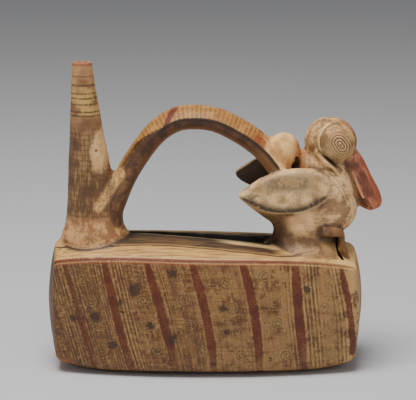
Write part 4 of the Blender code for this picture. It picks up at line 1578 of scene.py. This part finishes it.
def head_paint(grain, under):
    distance = field("eye_distance")
    sides = soft(abs(grain.aside), 7.0, 10.0)
    wave = (distance - EYE_RING_START + 0.8 * (grain.fine - 0.5)) * (math.tau / EYE_PITCH)
    wave = wave.maths("COSINE")
    rings = soft(wave, -0.1, -0.9) * soft(distance, EYE_EDGE, 4.0) * soft(distance, 0.7, 1.2)
    wander = grain.wobble(1.2)
    arc = line(distance - ARC_START + wander, 0.9, 0.5) * soft(grain.z, 152.0, 162.0)
    arc = arc + line(distance - ARC_END + wander, 0.7, 0.5) * soft(grain.z, 170.0, 162.0)
    pale = line(distance - (ARC_START + ARC_END) / 2 + wander, 1.3, 0.5) * soft(grain.z, 156.0, 166.0)
    crown = line(grain.aside + 3.0, 9.0, 1.5) * soft(grain.x, 90.0, 96.0)
    head = layered(
        stained((118, 92, 60), (172, 144, 104), soft(grain.mottled(0.3), 0.34, 0.60)),
        (104, 78, 52, 0.60 * soft(grain.z, 158.0, 148.0) * soft(grain.x, 102.0, 90.0)),
        (92, 66, 42, 0.75 * arc * sides),
        # a painted highlight between the arcs, as on a ridge
        (190, 162, 122, 0.60 * pale * sides),
        (142, 114, 84, 0.6 * soft(distance, 10.5, 7.0) * sides),
        # a painted highlight on the rings' raised crests
        (196, 166, 130, 0.55 * soft(wave, 0.2, 0.8) * soft(distance, 8.5, 3.0) * sides),
        # painted shade in the rings' grooves
        (84, 60, 40, 0.64 * rings * sides),
        (78, 56, 36, 0.80 * soft(distance, 0.7, 0.3) * sides),
        (122, 62, 40, 0.75 * crown * soft(grain.fine + grain.wobble(0.4), 0.36, 0.52)),
        # painted shade along the slit under the cheek
        (60, 42, 26, 0.70 * soft(field("chin_distance"), 2.4, 1.0) * sides),
    )
    return over(under, head, soft(field("head_in"), -0.6, 0.6))


# %% The beak
def beak_share():
    return soft(field("beak_in"), -0.3, 0.3)


def beak_paint(grain, under):
    """Red slip with pale streaks along it, and the browner fold below."""
    run, side = field("beak_run"), field("beak_side")
    streaked = soft(grain.noise_along(run, side, (0.07, 0.60), 4.0), 0.54, 0.68)
    mottle = soft(grain.middling + 0.3 * (grain.upright - 0.5), 0.36, 0.60)
    red = layered(
        stained((108, 62, 38), (144, 92, 62), mottle),
        (134, 72, 42, 0.7 * soft(side + grain.wobble(2.0), 2.0, 4.5)),
        (196, 148, 114, 0.6 * soft(run, 13.0, 5.0) * soft(grain.upright, 0.44, 0.58)),
        (204, 148, 108, 0.45 * streaked),
    )
    fold = stained((96, 60, 34), (138, 94, 58), soft(grain.middling, 0.38, 0.60))
    paint = layered(
        over(red, fold, soft(side, -1.6, -3.4)),
        (92, 54, 38, 0.60 * soft(field("panel_distance"), 3.6, 2.2)),
        (206, 156, 120, 0.85 * soft(field("groove_distance") + 0.5 * grain.fine, 1.5, 0.9)),
        (74, 34, 22, 0.7 * soft(run, 2.0, 0.5)),
        (188, 118, 66, 0.5 * soft(run, 40.0, 47.0) * soft(grain.fine, 0.42, 0.56)),
    )
    return over(under, paint, beak_share())


# %% The wings and the whistle ball
WING_STAIN, WING_STAIN_HALF = (57.0, 137.0), (24.0, 9.0)
TIP_STAIN = (31.5, 128.5)


def wing_paint(grain, under):
    """Pale feathers, stained in the middle and at the tip, a dark lower rim line, painted shade inside the
    far wing.
    """
    rim = field("wing_rim") + grain.wobble(2.4, 0.8)
    middle = soft(abs(grain.x - WING_STAIN[0]), WING_STAIN_HALF[0], 10.0)
    middle = middle * soft(abs(grain.z - WING_STAIN[1]), WING_STAIN_HALF[1], 2.0)
    middle = middle * soft(grain.mottled(0.3), 0.40, 0.54)
    tip = abs(grain.x - TIP_STAIN[0]) + 2.0 * abs(grain.z - TIP_STAIN[1]) + grain.wobble(5.0)
    dark = soft(field("wing_low"), 0.1, 0.7) * soft(rim, 8.0, 2.6) * soft(rim, 0.0, 2.2)
    dark = dark * soft(grain.fine + grain.wobble(0.5), 0.20, 0.46)
    feathers = layered(
        stained((146, 120, 86), (198, 170, 130), soft(grain.mottled(0.4), 0.34, 0.62)),
        (100, 82, 66, 0.80 * middle),
        (112, 94, 68, 0.50 * soft(grain.fine, 0.52, 0.64)),
        (76, 66, 62, 0.60 * soft(tip, 7.0, 3.0)),
        (50, 42, 36, 0.94 * dark),
        # painted shade on the far wing's inner face
        (64, 51, 41, 0.95 * soft(grain.y, 2.0, 8.0) * field("front_share")),
    )
    return over(under, feathers, soft(field("wings_in"), -0.3, 0.3))


def whistle_paint(grain, under):
    colour = stained((164, 130, 86), (200, 166, 120), soft(grain.mottled(0.3), 0.34, 0.58))
    colour = over(colour, slip(132, 76, 46), 0.5 * soft(grain.x + 6.0 * grain.middling, 63.0, 67.0))
    return over(under, colour, soft(field("whistle_in"), -1.0, 0.8))


# %% Plain clay, and all paints together
def plain_clay(grain):
    """The worn slip of the ends, the back and the underside, with painted light and shade on the two ends."""
    mottle = soft(grain.middling + 0.3 * (grain.streaks - 0.5), 0.30, 0.66)
    return layered(
        stained((72, 53, 36), (98, 75, 51), mottle),
        (120, 95, 64, 0.4 * soft(grain.fine, 0.55, 0.66)),
        # painted light on the right end
        (158, 126, 84, 0.80 * soft(grain.x, 97.0, 105.0) * soft(grain.z, 30.0, 60.0)),
        # painted shade on the left end
        (50, 38, 28, 0.75 * soft(grain.x, -97.0, -104.0)),
        (126, 75, 40, 0.5 * soft(grain.broad, 0.50, 0.60) * soft(grain.z, 24.0, 8.0)),
    )


def block_and_spout(grain):
    """The painted block, the bird's body, the spout and the thin line that passes in front of it."""
    colour = over(plain_clay(grain), front_paint(grain), field("front_share"))
    corner = soft(grain.x, -92.0, -102.0) * soft(grain.z + grain.wobble(14.0), 16.0, 9.0)
    colour = over(colour, slip(148, 90, 48), 0.75 * corner)
    colour = edge_lines(grain, top_paint(grain, colour))
    body = field("bird_in").maths("MAXIMUM", field("pedestal_in")).maths("MAXIMUM", field("toes_in"))
    colour = over(colour, bird_paint(grain), soft(body, -1.2, 1.0))
    colour = over(colour, spout_paint(grain), soft(field("spout_in"), -0.4, 0.8))
    low = soft(grain.z, 106.0, 102.0) * soft(grain.x, 72.0, 58.0) * soft(field("top_share"), 0.0, 0.3)
    front_of_foot = thin_line(grain).maths("MAXIMUM", field("spout_in") + 1.2)
    return over(colour, slip(60, 28, 15), 0.92 * line(front_of_foot, 1.6, 0.5) * low)


def all_paints(grain):
    """Each part's paint in turn, then painted shade with dirt in the dips, worn and highlit edges and specks
    over all.
    """
    colour = over(block_and_spout(grain), handle_paint(grain), soft(field("handle_in"), -1.2, 0.8))
    root = field("root_distance") + grain.wobble(5.0, 2.0)
    streak = stained((144, 112, 72), (186, 154, 106), soft(grain.fine + grain.wobble(0.4), 0.38, 0.58))
    colour = over(colour, streak, 0.85 * soft(root, 4.8, 1.8) * soft(grain.y, 0.0, -3.0))
    for paint in (whistle_paint, head_paint, beak_paint, wing_paint):
        colour = paint(grain, colour)
    dip = field("dip")
    return layered(
        colour,
        # painted shade, with some dirt, in the dips
        (44, 30, 18, 0.65 * soft(dip, 0.18, 0.85) * (1.0 - 0.7 * beak_share())),
        # pale worn edges that also carry a painted highlight
        (214, 188, 144, 0.22 * soft(dip, -0.3, -0.9) * (1.0 - field("front_share"))),
        (30, 20, 12, 0.75 * soft(grain.specks, 0.73, 0.79)),
        (84, 56, 34, field("inside")),
    )


# %% The finished material, with its burnish and its brush marks
BURNISH, BEAK_COAT, COAT_ROUGHNESS = 0.58, 0.45, 0.12
MARK_STRENGTH, MARK_HEIGHT = 0.5, 0.0006


def painted_clay():
    material = bpy.data.materials.new("painted_clay")
    material.use_nodes = True
    Wire.tree = material.node_tree
    shader = material.node_tree.nodes["Principled BSDF"]
    grain = Patterns()
    beak = beak_share()
    groove = soft(field("groove_in"), -0.3, 0.9)
    rough = BURNISH + 0.24 * (grain.middling - 0.5) - 0.26 * beak + 0.34 * groove
    scored = line(field("thin_line"), 0.9) * field("top_share")
    height = 0.5 * grain.fine + 0.5 * grain.streaks - 0.8 * scored
    bump = {"Strength": MARK_STRENGTH, "Distance": MARK_HEIGHT, "Height": height}
    wires = {"Base Color": all_paints(grain), "Roughness": rough, "Coat Weight": BEAK_COAT * beak}
    wires["Normal"] = Wire.node("ShaderNodeBump", None, bump)
    for name, wire in wires.items():
        material.node_tree.links.new(wire.socket, shader.inputs[name])
    shader.inputs["Coat Roughness"].default_value = COAT_ROUGHNESS
    return material


# %% [markdown]
# ## The finished vessel, and what it stands on
#
# The painted skin takes the place of the model's plain solid and rides on its one body. The floor is
# a sheet of pale matt paper, which belongs to the scene and not to the vessel.

# %% Finish: the vessel replaces the model's solid
vessel.name = "painted_vessel"
vessel.data.name = "painted_vessel"
vessel.data.shade_smooth()
vessel.data.materials.clear()
vessel.data.materials.append(painted_clay())
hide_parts("vessel")
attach(vessel, "root")
print("material:", len(vessel.data.materials[0].node_tree.nodes), "nodes")

# %% Floor
PAPER_GREY, PAPER_ROUGHNESS = 0.62, 0.9
floor_shape = bmesh.new()
bmesh.ops.create_grid(floor_shape, x_segments=2, y_segments=2, size=3.0)
floor = object_from("floor", floor_shape)
paper = bpy.data.materials.new("paper")
paper.use_nodes = True
matt = paper.node_tree.nodes["Principled BSDF"]
matt.inputs["Base Color"].default_value = (PAPER_GREY, PAPER_GREY, PAPER_GREY, 1.0)
matt.inputs["Roughness"].default_value = PAPER_ROUGHNESS
floor.data.materials.append(paper)
print("floor:", len(floor.data.polygons), "faces")
